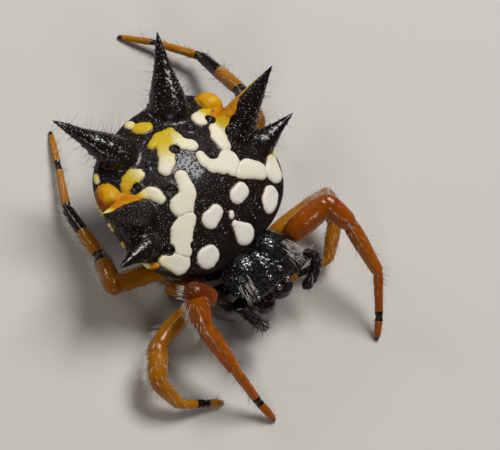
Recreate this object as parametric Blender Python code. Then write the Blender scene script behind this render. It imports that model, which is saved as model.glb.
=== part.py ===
"""A christmas jewel spider, adult female, life size, standing on its eight feet.

Every place below is written in the spider's own frame: +X to its left, +Y to
its rear and +Z up from the floor, with the zero under the middle of the
abdomen's front rim. The last step moves the finished model so that the middle
of its base is the origin. All sizes are in metres.
"""

import math
from typing import NamedTuple

import bmesh
import bpy
from mathutils import Matrix, Vector
from mathutils.bvhtree import BVHTree

MM = 0.001

# Clearances between neighbouring pieces
GAP = 0.3 * MM
EYE_GAP = 0.1 * MM

# Abdomen: a flat shield with a domed back, seen from above a rounded square
ABDOMEN_MIDDLE_Y = 3.65 * MM
ABDOMEN_HALF_LENGTH = 4.3 * MM
ABDOMEN_HALF_WIDTH = 5.1 * MM
ABDOMEN_SQUARENESS = 2.5
ABDOMEN_SIDES = 48
RIM_HEIGHT = 4.35 * MM
RIM_SLOPE = 0.07
DOME_HEIGHT = 1.45 * MM
DOME_POWER = 1.65
DOME_SHARES = (0.2, 0.4, 0.6, 0.78, 0.92, 1.0)
DOME_CROWN = 0.08 * MM

# Belly: share of the rim's outline, and depth under the rim, down to the spinnerets
BELLY_LEVELS = (
    (0.985, 0.28 * MM),
    (0.89, 0.62 * MM),
    (0.69, 1.10 * MM),
    (0.47, 1.85 * MM),
    (0.28, 2.60 * MM),
    (0.15, 3.00 * MM),
)

# Spinnerets: a low cone of short tubes under the belly
SPINNERET_RADIUS = 0.55 * MM
SPINNERET_LENGTH = 0.6 * MM
SPINNERET_TIP_SHARE = 0.5

# Orange knobs on the rim, between the middle and the rear spines
KNOB_PLACE = (4.05 * MM, 6.2 * MM, 4.6 * MM)
KNOB_SIZE = (0.62 * MM, 0.55 * MM, 0.5 * MM)
KNOB_DIVISIONS = 2

# Spines: share of the length from the root, share of the root's half-width
SPINE_PROFILE = (
    (-0.15, 1.1),
    (0.0, 1.0),
    (0.2, 0.8),
    (0.38, 0.52),
    (0.55, 0.36),
    (0.78, 0.20),
    (0.93, 0.09),
    (1.0, 0.03),
)
SPINE_SIDES = 12

# Head shield: place along the body, half-width, underside and top
CARAPACE_STATIONS = (
    (-3.00 * MM, 0.95 * MM, 2.95 * MM, 3.65 * MM),
    (-2.85 * MM, 1.45 * MM, 2.80 * MM, 3.90 * MM),
    (-2.50 * MM, 1.86 * MM, 2.70 * MM, 4.05 * MM),
    (-1.90 * MM, 2.05 * MM, 2.65 * MM, 4.08 * MM),
    (-1.20 * MM, 2.02 * MM, 2.62 * MM, 3.92 * MM),
    (-0.65 * MM, 1.75 * MM, 2.60 * MM, 3.42 * MM),
    (-0.20 * MM, 1.20 * MM, 2.58 * MM, 2.98 * MM),
    (0.15 * MM, 0.50 * MM, 2.50 * MM, 2.80 * MM),
    (0.75 * MM, 0.28 * MM, 2.35 * MM, 2.62 * MM),
)
CARAPACE_SQUARENESS = 2.7
CARAPACE_SIDES = 24

# Breast plate under the head shield, with the legs' hips round it
STERNUM_MIDDLE = (0.0, -0.95 * MM, 1.8 * MM)
STERNUM_SIZE = (0.62 * MM, 1.4 * MM, 0.36 * MM)
STERNUM_SIDES = 16

# Jaws: places along one jaw from its root to its fang, and the half-width there
JAW_LINE = (
    ((0.55, -2.82, 2.42), 0.30),
    ((0.56, -2.98, 2.22), 0.38),
    ((0.57, -3.12, 1.85), 0.41),
    ((0.56, -3.14, 1.45), 0.38),
    ((0.50, -3.06, 1.10), 0.28),
    ((0.36, -2.98, 0.92), 0.15),
)
JAW_SIDES = 12
JAW_FRONT_SHARE = 1.15

# Eyes: place across and height on the head's front, and radius
EYES = {
    "anterior_median": (0.34 * MM, 3.55 * MM, 0.16 * MM),
    "posterior_median": (0.42 * MM, 3.93 * MM, 0.17 * MM),
    "anterior_lateral": (1.52 * MM, 3.48 * MM, 0.13 * MM),
    "posterior_lateral": (1.62 * MM, 3.74 * MM, 0.13 * MM),
}
EYE_SEGMENTS = 10
EYE_RINGS = 6
EYE_AIM = (0.0, -1.6 * MM, 3.2 * MM)

# Feelers beside the jaws: joints in millimetres, and the half-width at each
PALP_JOINTS = ((1.28, -2.95, 2.2), (1.75, -3.0, 2.4), (2.55, -2.98, 3.25), (2.45, -3.55, 3.2),
               (2.0, -3.95, 2.4), (1.6, -3.95, 1.8))
PALP_WIDTHS = (0.20, 0.24, 0.24, 0.26, 0.24, 0.12)
PALP_SIDES = 8
PALP_BASE_JOINTS = 3

# Legs: half-thickness at the start, middle and end of each length, in millimetres
LENGTHS = {
    "coxa": (0.30, 0.38, 0.37),
    "femur": (0.40, 0.70, 0.60),
    "patella": (0.56, 0.60, 0.50),
    "tibia": (0.46, 0.44, 0.33),
    "metatarsus": (0.30, 0.26, 0.23),
    "tarsus": (0.23, 0.22, 0.20),
}
NODES_OF_LEG = {"coxa": ("coxa",), "femur": ("femur",), "tibia": ("patella", "tibia"), "tarsus": ("metatarsus", "tarsus")}
LEG_SIDES = 10
STATION_SHARES = (0.24, 0.5, 0.78)
MOST_STRETCH = 1.18
END_SHARE = 0.86
END_DEPTH = 0.1 * MM
RING_ROOM = 0.3 * MM


class Spine(NamedTuple):
    """A pair of spines: the left one's root and tip, and its half-width fore and aft and up and down."""

    root: tuple
    tip: tuple
    along_body: float
    upright: float


class Leg(NamedTuple):
    """One leg: its joints from hip to foot in millimetres, its thicknesses and its thigh's bow."""

    hip: tuple
    knee: tuple
    patella_end: tuple
    tibia_end: tuple
    metatarsus_end: tuple
    foot: tuple
    thickness: float
    thigh: float
    bow: tuple = (0.0, 0.0, 0.0)


SPINES = (
    Spine((2.0 * MM, 7.25 * MM, 4.9 * MM), (4.0 * MM, 10.4 * MM, 6.4 * MM), 1.25 * MM, 0.95 * MM),
    Spine((3.95 * MM, 4.35 * MM, 4.85 * MM), (6.5 * MM, 4.9 * MM, 7.6 * MM), 1.35 * MM, 1.1 * MM),
    Spine((4.55 * MM, 2.8 * MM, 4.55 * MM), (6.7 * MM, 2.92 * MM, 5.47 * MM), 0.85 * MM, 0.62 * MM),
)

COXA_ROOTS = {1: (0.95, -2.3, 1.85), 2: (1.08, -1.4, 1.85), 3: (1.08, -0.5, 1.85), 4: (0.9, 0.36, 1.85)}

LEGS = {
    "leg_1_left": Leg((2.5, -1.5, 2.4), (4.65, -1.85, 4.6), (5.0, -3.4, 4.1), (4.9, -6.1, 2.7),
                      (4.0, -7.7, 0.9), (3.45, -8.35, 0.05), 1.0, 1.0, (0.0, 0.0, 0.25)),
    "leg_1_right": Leg((-2.35, -2.42, 1.7), (-4.35, -0.5, 4.3), (-5.05, -2.0, 3.7), (-5.0, -4.65, 2.5),
                       (-4.55, -6.5, 0.9), (-4.25, -7.65, 0.05), 1.0, 1.0),
    "leg_2_left": Leg((2.3, -0.65, 1.5), (6.3, -1.25, 2.4), (5.8, -2.55, 1.9), (4.45, -3.65, 0.85),
                      (2.85, -3.1, 0.45), (1.85, -2.8, 0.05), 0.9, 0.75),
    "leg_2_right": Leg((-2.6, -0.8, 1.5), (-6.9, -1.05, 2.0), (-8.2, -2.3, 1.8), (-7.7, -3.8, 0.8),
                       (-6.45, -4.65, 0.45), (-5.6, -5.15, 0.05), 0.9, 0.72, (0.0, 0.2, 0.0)),
    "leg_3_left": Leg((2.1, 0.22, 1.75), (3.9, 0.7, 2.6), (4.6, 1.35, 2.0), (4.75, 2.1, 0.9),
                      (4.4, 2.9, 0.4), (4.0, 3.5, 0.05), 0.75, 0.7),
    "leg_3_right": Leg((-1.95, 0.05, 1.7), (-3.35, 0.4, 1.8), (-3.6, 0.95, 1.2), (-3.0, 1.7, 0.6),
                       (-2.2, 2.1, 0.4), (-1.5, 2.4, 0.05), 0.72, 0.65),
    "leg_4_left": Leg((2.45, 1.4, 2.05), (6.1, 4.0, 3.4), (7.05, 5.85, 3.0), (8.0, 9.05, 1.2),
                      (6.95, 11.45, 0.6), (6.0, 13.0, 0.05), 0.9, 0.8),
    "leg_4_right": Leg((-2.45, 1.4, 2.05), (-6.35, 2.75, 2.5), (-5.35, 4.35, 1.9), (-4.15, 7.6, 0.9),
                       (-2.4, 9.8, 0.5), (-1.15, 11.4, 0.05), 0.9, 0.8),
}

# Colours: base colour and roughness
BLACK_SHELL = ((0.012, 0.011, 0.012), 0.28)
HEAD_SHELL = ((0.010, 0.008, 0.008), 0.22)
HIP_BROWN = ((0.045, 0.020, 0.012), 0.35)
LEG_ORANGE = ((0.62, 0.17, 0.018), 0.38)
LEG_OCHRE = ((0.66, 0.28, 0.025), 0.40)
EYE_BLACK = ((0.004, 0.004, 0.005), 0.05)

SHARP_ANGLE = math.radians(40)


def millimetres(place):
    """A vector in metres from a place written in millimetres."""
    return Vector(place) * MM


def mirrored(place, side):
    """The place for the left (1) or the right (-1) side of the body."""
    return Vector((side * place[0], place[1], place[2]))


def finish_material(name, finish):
    """A Principled material of one colour and roughness."""
    colour, roughness = finish
    material = bpy.data.materials.get(name) or bpy.data.materials.new(name)
    material.use_nodes = True
    shader = material.node_tree.nodes["Principled BSDF"]
    shader.inputs["Base Color"].default_value = (*colour, 1.0)
    shader.inputs["Roughness"].default_value = roughness
    shader.inputs["Metallic"].default_value = 0.0
    return material


def finish_object(shape, name, finish):
    """Turns a closed shape into a named object with its own material."""
    bmesh.ops.triangulate(shape, faces=shape.faces)
    bmesh.ops.recalc_face_normals(shape, faces=shape.faces)
    mesh = bpy.data.meshes.new(name)
    shape.to_mesh(mesh)
    shape.free()
    mesh.shade_smooth()
    mesh.set_sharp_from_angle(angle=SHARP_ANGLE)
    mesh.materials.append(finish_material(name, finish))
    made = bpy.data.objects.new(name, mesh)
    bpy.context.scene.collection.objects.link(made)
    return made


def round_share(cosine, sine, squareness):
    """How far a superellipse of unit size reaches in a direction."""
    return (abs(cosine) ** squareness + abs(sine) ** squareness) ** (-1.0 / squareness)


def ring(shape, place, across, over, sides, squareness=2.0):
    """A closed loop of edges round a place, with two half-axes as vectors."""
    made = bmesh.ops.create_circle(shape, segments=sides, radius=1.0)["verts"]
    for vertex in made:
        cosine, sine = vertex.co.x, vertex.co.y
        share = round_share(cosine, sine, squareness)
        vertex.co = place + (across * cosine + over * sine) * share
    edges = {edge for vertex in made for edge in vertex.link_edges}
    return list(edges)


def loft(shape, rings):
    """Joins rings in order into a skin and closes both of its ends."""
    for first, second in zip(rings, rings[1:]):
        bmesh.ops.bridge_loops(shape, edges=first + second)
    for end in (rings[0], rings[-1]):
        bmesh.ops.contextual_create(shape, geom=end)


def frame_across(direction, earlier):
    """A unit vector across a direction, turned as little as possible from an earlier one."""
    across = earlier - direction * earlier.dot(direction)
    return across.normalized()


def limb(shape, stations, sides):
    """A tube through stations of place, direction, half-width, and stretch as a vector."""
    rings = []
    across = stations[0][1].orthogonal().normalized()
    for place, direction, half_width, stretch in stations:
        across = frame_across(direction, across)
        over = direction.cross(across)
        first = across * half_width
        second = over * half_width
        first += stretch * first.dot(stretch)
        second += stretch * second.dot(stretch)
        rings.append(ring(shape, place, first, second, sides))
    loft(shape, rings)


def union_all(base, parts):
    """Joins closed objects to the base in one Boolean and keeps its largest closed surface."""
    group = bpy.data.collections.new("joined")
    bpy.context.scene.collection.children.link(group)
    for part in parts:
        bpy.context.scene.collection.objects.unlink(part)
        group.objects.link(part)
    joint = base.modifiers.new("join", "BOOLEAN")
    joint.operation = "UNION"
    joint.operand_type = "COLLECTION"
    joint.collection = group
    joint.solver = "EXACT"
    evaluated = base.evaluated_get(bpy.context.evaluated_depsgraph_get())
    joined = bpy.data.meshes.new_from_object(evaluated)
    base.modifiers.clear()
    shape = bmesh.new()
    shape.from_mesh(joined)
    keep_largest(shape)
    bmesh.ops.triangulate(shape, faces=shape.faces)
    shape.to_mesh(base.data)
    shape.free()
    base.data.shade_smooth()
    base.data.set_sharp_from_angle(angle=SHARP_ANGLE)
    bpy.data.meshes.remove(joined)
    for part in list(group.objects):
        bpy.data.objects.remove(part)
    bpy.data.collections.remove(group)


def keep_largest(shape):
    """Deletes every separate surface but the one with the most faces."""
    left = set(shape.faces)
    surfaces = []
    while left:
        reached = {left.pop()}
        edge_of_search = list(reached)
        while edge_of_search:
            face = edge_of_search.pop()
            for edge in face.edges:
                for neighbour in edge.link_faces:
                    if neighbour in left:
                        left.discard(neighbour)
                        reached.add(neighbour)
                        edge_of_search.append(neighbour)
        surfaces.append(reached)
    surfaces.sort(key=len)
    scraps = [face for surface in surfaces[:-1] for face in surface]
    bmesh.ops.delete(shape, geom=scraps, context="FACES")


def rim_height(y):
    """Height of the abdomen's rim at a place along the body."""
    return RIM_HEIGHT + RIM_SLOPE * (y - ABDOMEN_MIDDLE_Y)


def abdomen_ring(shape, share, lift):
    """A loop at a share of the rim's outline, lifted above the rim."""
    middle = Vector((0.0, ABDOMEN_MIDDLE_Y, RIM_HEIGHT + lift))
    across = Vector((ABDOMEN_HALF_WIDTH * share, 0.0, 0.0))
    along = Vector((0.0, ABDOMEN_HALF_LENGTH * share, ABDOMEN_HALF_LENGTH * share * RIM_SLOPE))
    return ring(shape, middle, across, along, ABDOMEN_SIDES, ABDOMEN_SQUARENESS)


def abdomen_shell():
    """The abdomen without its spines: a domed back, a rolled rim and a coned belly."""
    shape = bmesh.new()
    rings = [abdomen_ring(shape, share, DOME_HEIGHT * (1.0 - share ** DOME_POWER)) for share in DOME_SHARES]
    rings += [abdomen_ring(shape, share, -depth) for share, depth in BELLY_LEVELS]
    loft(shape, rings)
    crown = max(shape.faces, key=lambda face: face.calc_center_median().z)
    bmesh.ops.poke(shape, faces=[crown], offset=DOME_CROWN)
    return finish_object(shape, "abdomen", BLACK_SHELL)


def spine_object(spine, side):
    """One spine, flared at its root and sunk into the shell."""
    root = mirrored(spine.root, side)
    tip = mirrored(spine.tip, side)
    along = tip - root
    direction = along.normalized()
    fore = Vector((0.0, 1.0, 0.0))
    fore = frame_across(direction, fore)
    over = direction.cross(fore)
    shape = bmesh.new()
    rings = [
        ring(shape, root + along * place, fore * spine.along_body * share, over * spine.upright * share, SPINE_SIDES)
        for place, share in SPINE_PROFILE
    ]
    loft(shape, rings)
    return finish_object(shape, "spine", BLACK_SHELL)


def knob_object(side):
    """One round knob on the rim."""
    shape = bmesh.new()
    where = Matrix.Translation(mirrored(KNOB_PLACE, side)) @ Matrix.Diagonal((*KNOB_SIZE, 1.0))
    bmesh.ops.create_icosphere(shape, subdivisions=KNOB_DIVISIONS, radius=1.0, matrix=where)
    return finish_object(shape, "knob", LEG_OCHRE)


def build_abdomen():
    """The abdomen with its six spines and two knobs in one piece."""
    abdomen = abdomen_shell()
    extras = [spine_object(spine, side) for spine in SPINES for side in (1, -1)]
    extras += [knob_object(side) for side in (1, -1)]
    union_all(abdomen, extras)


def build_spinnerets():
    """The cone of spinnerets, hanging just under the belly's end."""
    depth = BELLY_LEVELS[-1][1] + GAP
    top = Vector((0.0, ABDOMEN_MIDDLE_Y, RIM_HEIGHT - depth))
    shape = bmesh.new()
    rings = []
    for place, share in ((0.0, 0.9), (0.25, 1.0), (0.7, 0.8), (1.0, SPINNERET_TIP_SHARE)):
        radius = SPINNERET_RADIUS * share
        level = top - Vector((0.0, 0.0, SPINNERET_LENGTH * place))
        rings.append(ring(shape, level, Vector((radius, 0.0, 0.0)), Vector((0.0, radius, 0.0)), LEG_SIDES))
    loft(shape, rings)
    finish_object(shape, "spinnerets", HIP_BROWN)


def build_carapace():
    """The head shield, broad in front, narrowing to the waist under the abdomen."""
    shape = bmesh.new()
    rings = []
    for y, half_width, low, high in CARAPACE_STATIONS:
        middle = Vector((0.0, y, (low + high) / 2))
        up = Vector((0.0, 0.0, (high - low) / 2))
        rings.append(ring(shape, middle, Vector((half_width, 0.0, 0.0)), up, CARAPACE_SIDES, CARAPACE_SQUARENESS))
    loft(shape, rings)
    return finish_object(shape, "carapace", HEAD_SHELL)


def build_sternum():
    """The breast plate, an oval block with a rounded underside."""
    shape = bmesh.new()
    middle = Vector(STERNUM_MIDDLE)
    wide, long, high = STERNUM_SIZE
    rings = []
    for level, share in ((-1.0, 0.55), (-0.6, 0.88), (0.0, 1.0), (1.0, 0.94)):
        place = middle + Vector((0.0, 0.0, high * level))
        rings.append(ring(shape, place, Vector((wide * share, 0.0, 0.0)), Vector((0.0, long * share, 0.0)), STERNUM_SIDES))
    loft(shape, rings)
    finish_object(shape, "sternum", HIP_BROWN)


def straight_directions(places):
    """The direction of a line at each of its places, and the stretch that a bend needs there."""
    found = []
    for index, place in enumerate(places):
        arriving = (place - places[index - 1]).normalized() if index else None
        leaving = (places[index + 1] - place).normalized() if index + 1 < len(places) else None
        found.append(bend(arriving or leaving, leaving or arriving))
    return found


def bend(arriving, leaving):
    """The direction halfway between two, and the vector that stretches a ring set across it."""
    direction = (arriving + leaving).normalized()
    towards = leaving - arriving
    if towards.length < 0.001:
        return direction, Vector((0.0, 0.0, 0.0))
    stretch = min(1.0 / max(direction.dot(arriving), 0.05), MOST_STRETCH)
    return direction, towards.normalized() * math.sqrt(stretch - 1.0)


def build_jaw(side):
    """One jaw: a stout drop hanging from the front of the head, ending at its fang."""
    name = "chelicera_left" if side == 1 else "chelicera_right"
    places = [mirrored(millimetres(place), side) for place, _ in JAW_LINE]
    stations = []
    for (direction, stretch), place, (_, half_width) in zip(straight_directions(places), places, JAW_LINE):
        stations.append((place, direction, half_width * MM, stretch))
    shape = bmesh.new()
    limb(shape, stations, JAW_SIDES)
    finish_object(shape, name, HEAD_SHELL)


def build_eyes(carapace):
    """Eight small domes set on the front of the head, two rows of four."""
    shape = bmesh.new()
    shape.from_mesh(carapace.data)
    surface = BVHTree.FromBMesh(shape)
    shape.free()
    aim = Vector(EYE_AIM)
    for row, (across, height, radius) in EYES.items():
        for side, word in ((1, "left"), (-1, "right")):
            start = Vector((side * across, CARAPACE_STATIONS[0][0] * 2, height))
            target = Vector((side * across, aim.y, height))
            place, normal, _, _ = surface.ray_cast(start, (target - start).normalized())
            build_eye("eye_" + row + "_" + word, place + normal * EYE_GAP, normal, radius)


def build_eye(name, place, normal, radius):
    """One eye: a dome whose flat base faces the head."""
    shape = bmesh.new()
    turn = normal.to_track_quat("Z", "Y").to_matrix().to_4x4()
    bmesh.ops.create_uvsphere(shape, u_segments=EYE_SEGMENTS, v_segments=EYE_RINGS, radius=radius)
    geometry = shape.verts[:] + shape.edges[:] + shape.faces[:]
    cut = bmesh.ops.bisect_plane(
        shape, geom=geometry, dist=1e-9, plane_co=(0, 0, -radius / 4), plane_no=(0, 0, 1), clear_inner=True
    )
    rim = [item for item in cut["geom_cut"] if isinstance(item, bmesh.types.BMEdge)]
    bmesh.ops.contextual_create(shape, geom=rim)
    bmesh.ops.transform(shape, matrix=Matrix.Translation(place + normal * radius / 4) @ turn, verts=shape.verts)
    finish_object(shape, name, EYE_BLACK)


def build_palp(side):
    """One feeler in two pieces, each a tapered tube with a gap between them."""
    word = "left" if side == 1 else "right"
    places = [mirrored(millimetres(place), side) for place in PALP_JOINTS]
    widths = [width * MM for width in PALP_WIDTHS]
    directions = straight_directions(places)
    last = PALP_BASE_JOINTS
    for name, first, end in (("base", 0, last), ("tip", last, len(places))):
        stations = []
        for index in range(first, end):
            stations.append((places[index], *directions[index][:1], widths[index], directions[index][1]))
        if name == "base":
            stations.append(joint_end(places[last], places[last - 1], directions[last], widths[last]))
        else:
            stations[0] = joint_end(places[last], places[last + 1], directions[last], widths[last])
        shape = bmesh.new()
        limb(shape, stations, PALP_SIDES)
        finish_object(shape, "palp_" + word + "_" + name, HEAD_SHELL)


def joint_end(joint, inward, direction, half_width):
    """The end ring of a piece at a joint, half the gap back along the piece."""
    back = (inward - joint).normalized() * (GAP / 2)
    return joint + back, direction[0], half_width, direction[1]


def reach_of_joint(places, index, half_width):
    """How far along the leg a slanted ring at a joint reaches, so that no other ring crosses it."""
    if index in (0, len(places) - 1):
        return END_DEPTH
    direction, stretch = bend((places[index] - places[index - 1]).normalized(),
                              (places[index + 1] - places[index]).normalized())
    arriving = (places[index] - places[index - 1]).normalized()
    slant = math.sqrt(max(1.0 - direction.dot(arriving) ** 2, 0.0))
    return half_width * slant * (1.0 + stretch.length_squared) + RING_ROOM


def leg_path(name, leg):
    """The places of all rings of a leg, each with its half-width and whether it is a joint."""
    side = 1 if name.endswith("left") else -1
    root = mirrored(millimetres(COXA_ROOTS[int(name[4])]), side)
    joints = [root] + [millimetres(place) for place in leg[:6]]
    bow = millimetres(leg.bow)
    path = []
    for index, (length, profile) in enumerate(LENGTHS.items()):
        start, end = joints[index], joints[index + 1]
        whole = (end - start).length
        share_of_size = leg.thigh if length == "femur" else leg.thickness
        widths = [width * share_of_size * MM for width in profile]
        before = reach_of_joint(joints, index, widths[0])
        after = reach_of_joint(joints, index + 1, widths[2])
        path.append((start, widths[0], True))
        for share in STATION_SHARES:
            if share * whole < before or (1.0 - share) * whole < after:
                continue
            lean = 4.0 * share * (1.0 - share) if length == "femur" else 0.0
            path.append((start.lerp(end, share) + bow * lean, width_at(widths, share), False))
    path.append((joints[-1], widths[2], True))
    return path


def build_leg(name, leg):
    """One leg in four pieces from the hip to the foot, parted by gaps set square to each bend."""
    path = leg_path(name, leg)
    directions = straight_directions([place for place, _, _ in path])
    joints = [index for index, station in enumerate(path) if station[2]]
    lengths = list(LENGTHS)
    for node, held in NODES_OF_LEG.items():
        first = joints[lengths.index(held[0])]
        last = joints[lengths.index(held[-1]) + 1]
        stations = [
            (path[index][0], directions[index][0], path[index][1], directions[index][1])
            for index in range(first, last + 1)
        ]
        stations = square_ends(stations, first > 0, last < len(path) - 1)
        shape = bmesh.new()
        limb(shape, stations, LEG_SIDES)
        for vertex in shape.verts:
            vertex.co.z = max(vertex.co.z, 0.0)
        finish_object(shape, name + "_" + node, leg_finish(name, node))


def width_at(widths, share):
    """Half-thickness at a share of a length, from its start, middle and end."""
    start, middle, end = widths
    if share <= 0.5:
        return start + (middle - start) * share * 2
    return middle + (end - middle) * (share - 0.5) * 2


def square_ends(stations, gap_before, gap_after):
    """Draws the ends of a piece back from its joints by half the gap, with a small shoulder."""
    made = list(stations)
    for end, inward, has_gap in ((0, 1, gap_before), (-1, -2, gap_after)):
        place, direction, half_width, stretch = made[end]
        back = (made[inward][0] - place).normalized()
        if has_gap:
            place = place + back * (GAP / 2)
        made[end] = (place, direction, half_width * END_SHARE, stretch)
        shoulder = (place + back * END_DEPTH, direction, half_width, stretch)
        made.insert(1 if end == 0 else len(made) - 1, shoulder)
    return made


def leg_finish(name, node):
    """Orange front legs, ochre others, brown hips."""
    if node == "coxa":
        return HIP_BROWN
    return LEG_ORANGE if "leg_1" in name else LEG_OCHRE


def centre_on_floor():
    """Moves the model so that the middle of its base is the origin."""
    corners = [vertex.co for made in bpy.context.scene.objects for vertex in made.data.vertices]
    middle_x = (min(co.x for co in corners) + max(co.x for co in corners)) / 2
    middle_y = (min(co.y for co in corners) + max(co.y for co in corners)) / 2
    shift = Matrix.Translation((-middle_x, -middle_y, 0.0))
    for made in bpy.context.scene.objects:
        made.data.transform(shift)


def main():
    """Builds every piece of the spider."""
    for existing in list(bpy.data.objects):
        bpy.data.objects.remove(existing)
    build_abdomen()
    build_spinnerets()
    carapace = build_carapace()
    build_sternum()
    for side in (1, -1):
        build_jaw(side)
        build_palp(side)
    build_eyes(carapace)
    for name, leg in LEGS.items():
        build_leg(name, leg)
    centre_on_floor()


main()
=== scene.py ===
"""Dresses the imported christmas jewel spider: skins, marks, coat, light and camera.

Sizes of the sculpted pieces are in millimetres in the spider's own frame: +X to
its left, +Y to its rear, +Z up from the floor, zero under the middle of the
abdomen's front rim. Each finished piece is turned into metres in the model's
frame, where the solids are.
"""

import logging
import math
from dataclasses import dataclass, field
from enum import Enum
from typing import NamedTuple, Optional, Sequence

import bmesh
import bpy
import numpy as np
from mathutils import Matrix, Vector

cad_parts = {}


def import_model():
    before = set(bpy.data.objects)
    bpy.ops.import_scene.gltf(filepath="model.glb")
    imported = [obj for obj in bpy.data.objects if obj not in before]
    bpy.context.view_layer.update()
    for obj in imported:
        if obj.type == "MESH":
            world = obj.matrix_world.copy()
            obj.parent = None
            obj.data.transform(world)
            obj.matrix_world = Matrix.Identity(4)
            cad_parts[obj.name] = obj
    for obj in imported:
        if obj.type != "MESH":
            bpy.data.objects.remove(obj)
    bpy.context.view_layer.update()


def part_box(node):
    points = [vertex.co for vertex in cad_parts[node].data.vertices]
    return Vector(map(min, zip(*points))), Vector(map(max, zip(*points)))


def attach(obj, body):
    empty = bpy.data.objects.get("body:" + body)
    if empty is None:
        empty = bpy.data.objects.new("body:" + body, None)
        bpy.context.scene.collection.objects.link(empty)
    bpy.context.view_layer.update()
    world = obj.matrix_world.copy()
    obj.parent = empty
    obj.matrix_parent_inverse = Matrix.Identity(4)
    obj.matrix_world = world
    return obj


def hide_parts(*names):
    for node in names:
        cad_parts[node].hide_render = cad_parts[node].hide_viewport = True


MM = 0.001
log = logging.getLogger("spider")

Colour = tuple[float, float, float]
Place = tuple[float, float, float]
# (share, size) pairs along a form.
Profile = tuple[tuple[float, float], ...]
# Numbers or places, one row for each point.
Rows = np.ndarray
Mesh = bpy.types.Mesh
Piece = bpy.types.Object
Material = bpy.types.Material
Tree = bpy.types.NodeTree
Node = bpy.types.Node
Socket = bpy.types.NodeSocket

# How deep a hair's root sits under the skin, in millimetres.
ROOT_DEPTH = 0.02
# Where the spinnerets are along the spider's own frame, in millimetres.
SPINNERETS_Y = 3.65


# Frame


@dataclass(frozen=True)
class BodySpace:
    """The step from millimetres in the spider's frame to metres in the model's.

    Args:
        shift: where the spider's own zero lies in the model's frame, in metres.
    """

    shift: Vector

    @classmethod
    def from_solids(cls, spinnerets_y: float) -> "BodySpace":
        """Finds the shift from the spinnerets, whose place is known in both frames.

        Args:
            spinnerets_y: their place along the spider's own frame, in millimetres.

        Returns:
            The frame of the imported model.
        """
        low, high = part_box("spinnerets")
        middle = (low + high) / 2
        return cls(Vector((middle.x, middle.y - spinnerets_y * MM, 0.0)))

    def matrix(self) -> Matrix:
        """The transform that a finished mesh gets."""
        return Matrix.Translation(self.shift) @ Matrix.Scale(MM, 4)


# Sculpting

EVERY_AXIS = {"use_axis_x": True, "use_axis_y": True, "use_axis_z": True}


class Station(NamedTuple):
    """A place on a tube's middle line and the tube's half-width there."""

    place: Vector
    radius: float


def round_share(cosine: float, sine: float, squareness: float) -> float:
    """How far a superellipse of unit size reaches in a direction."""
    return (abs(cosine) ** squareness + abs(sine) ** squareness) ** (-1.0 / squareness)


def between(values: Sequence[tuple[float, float]], share: float) -> float:
    """Reads a profile of (share, value) pairs at a share."""
    return float(np.interp(share, [at for at, _ in values], [value for _, value in values]))


def fade(values: Rows, start: float, end: float) -> Rows:
    """How far values have come from start to end, from 0 to 1."""
    return np.clip((values - start) / (end - start), 0.0, 1.0)


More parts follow.
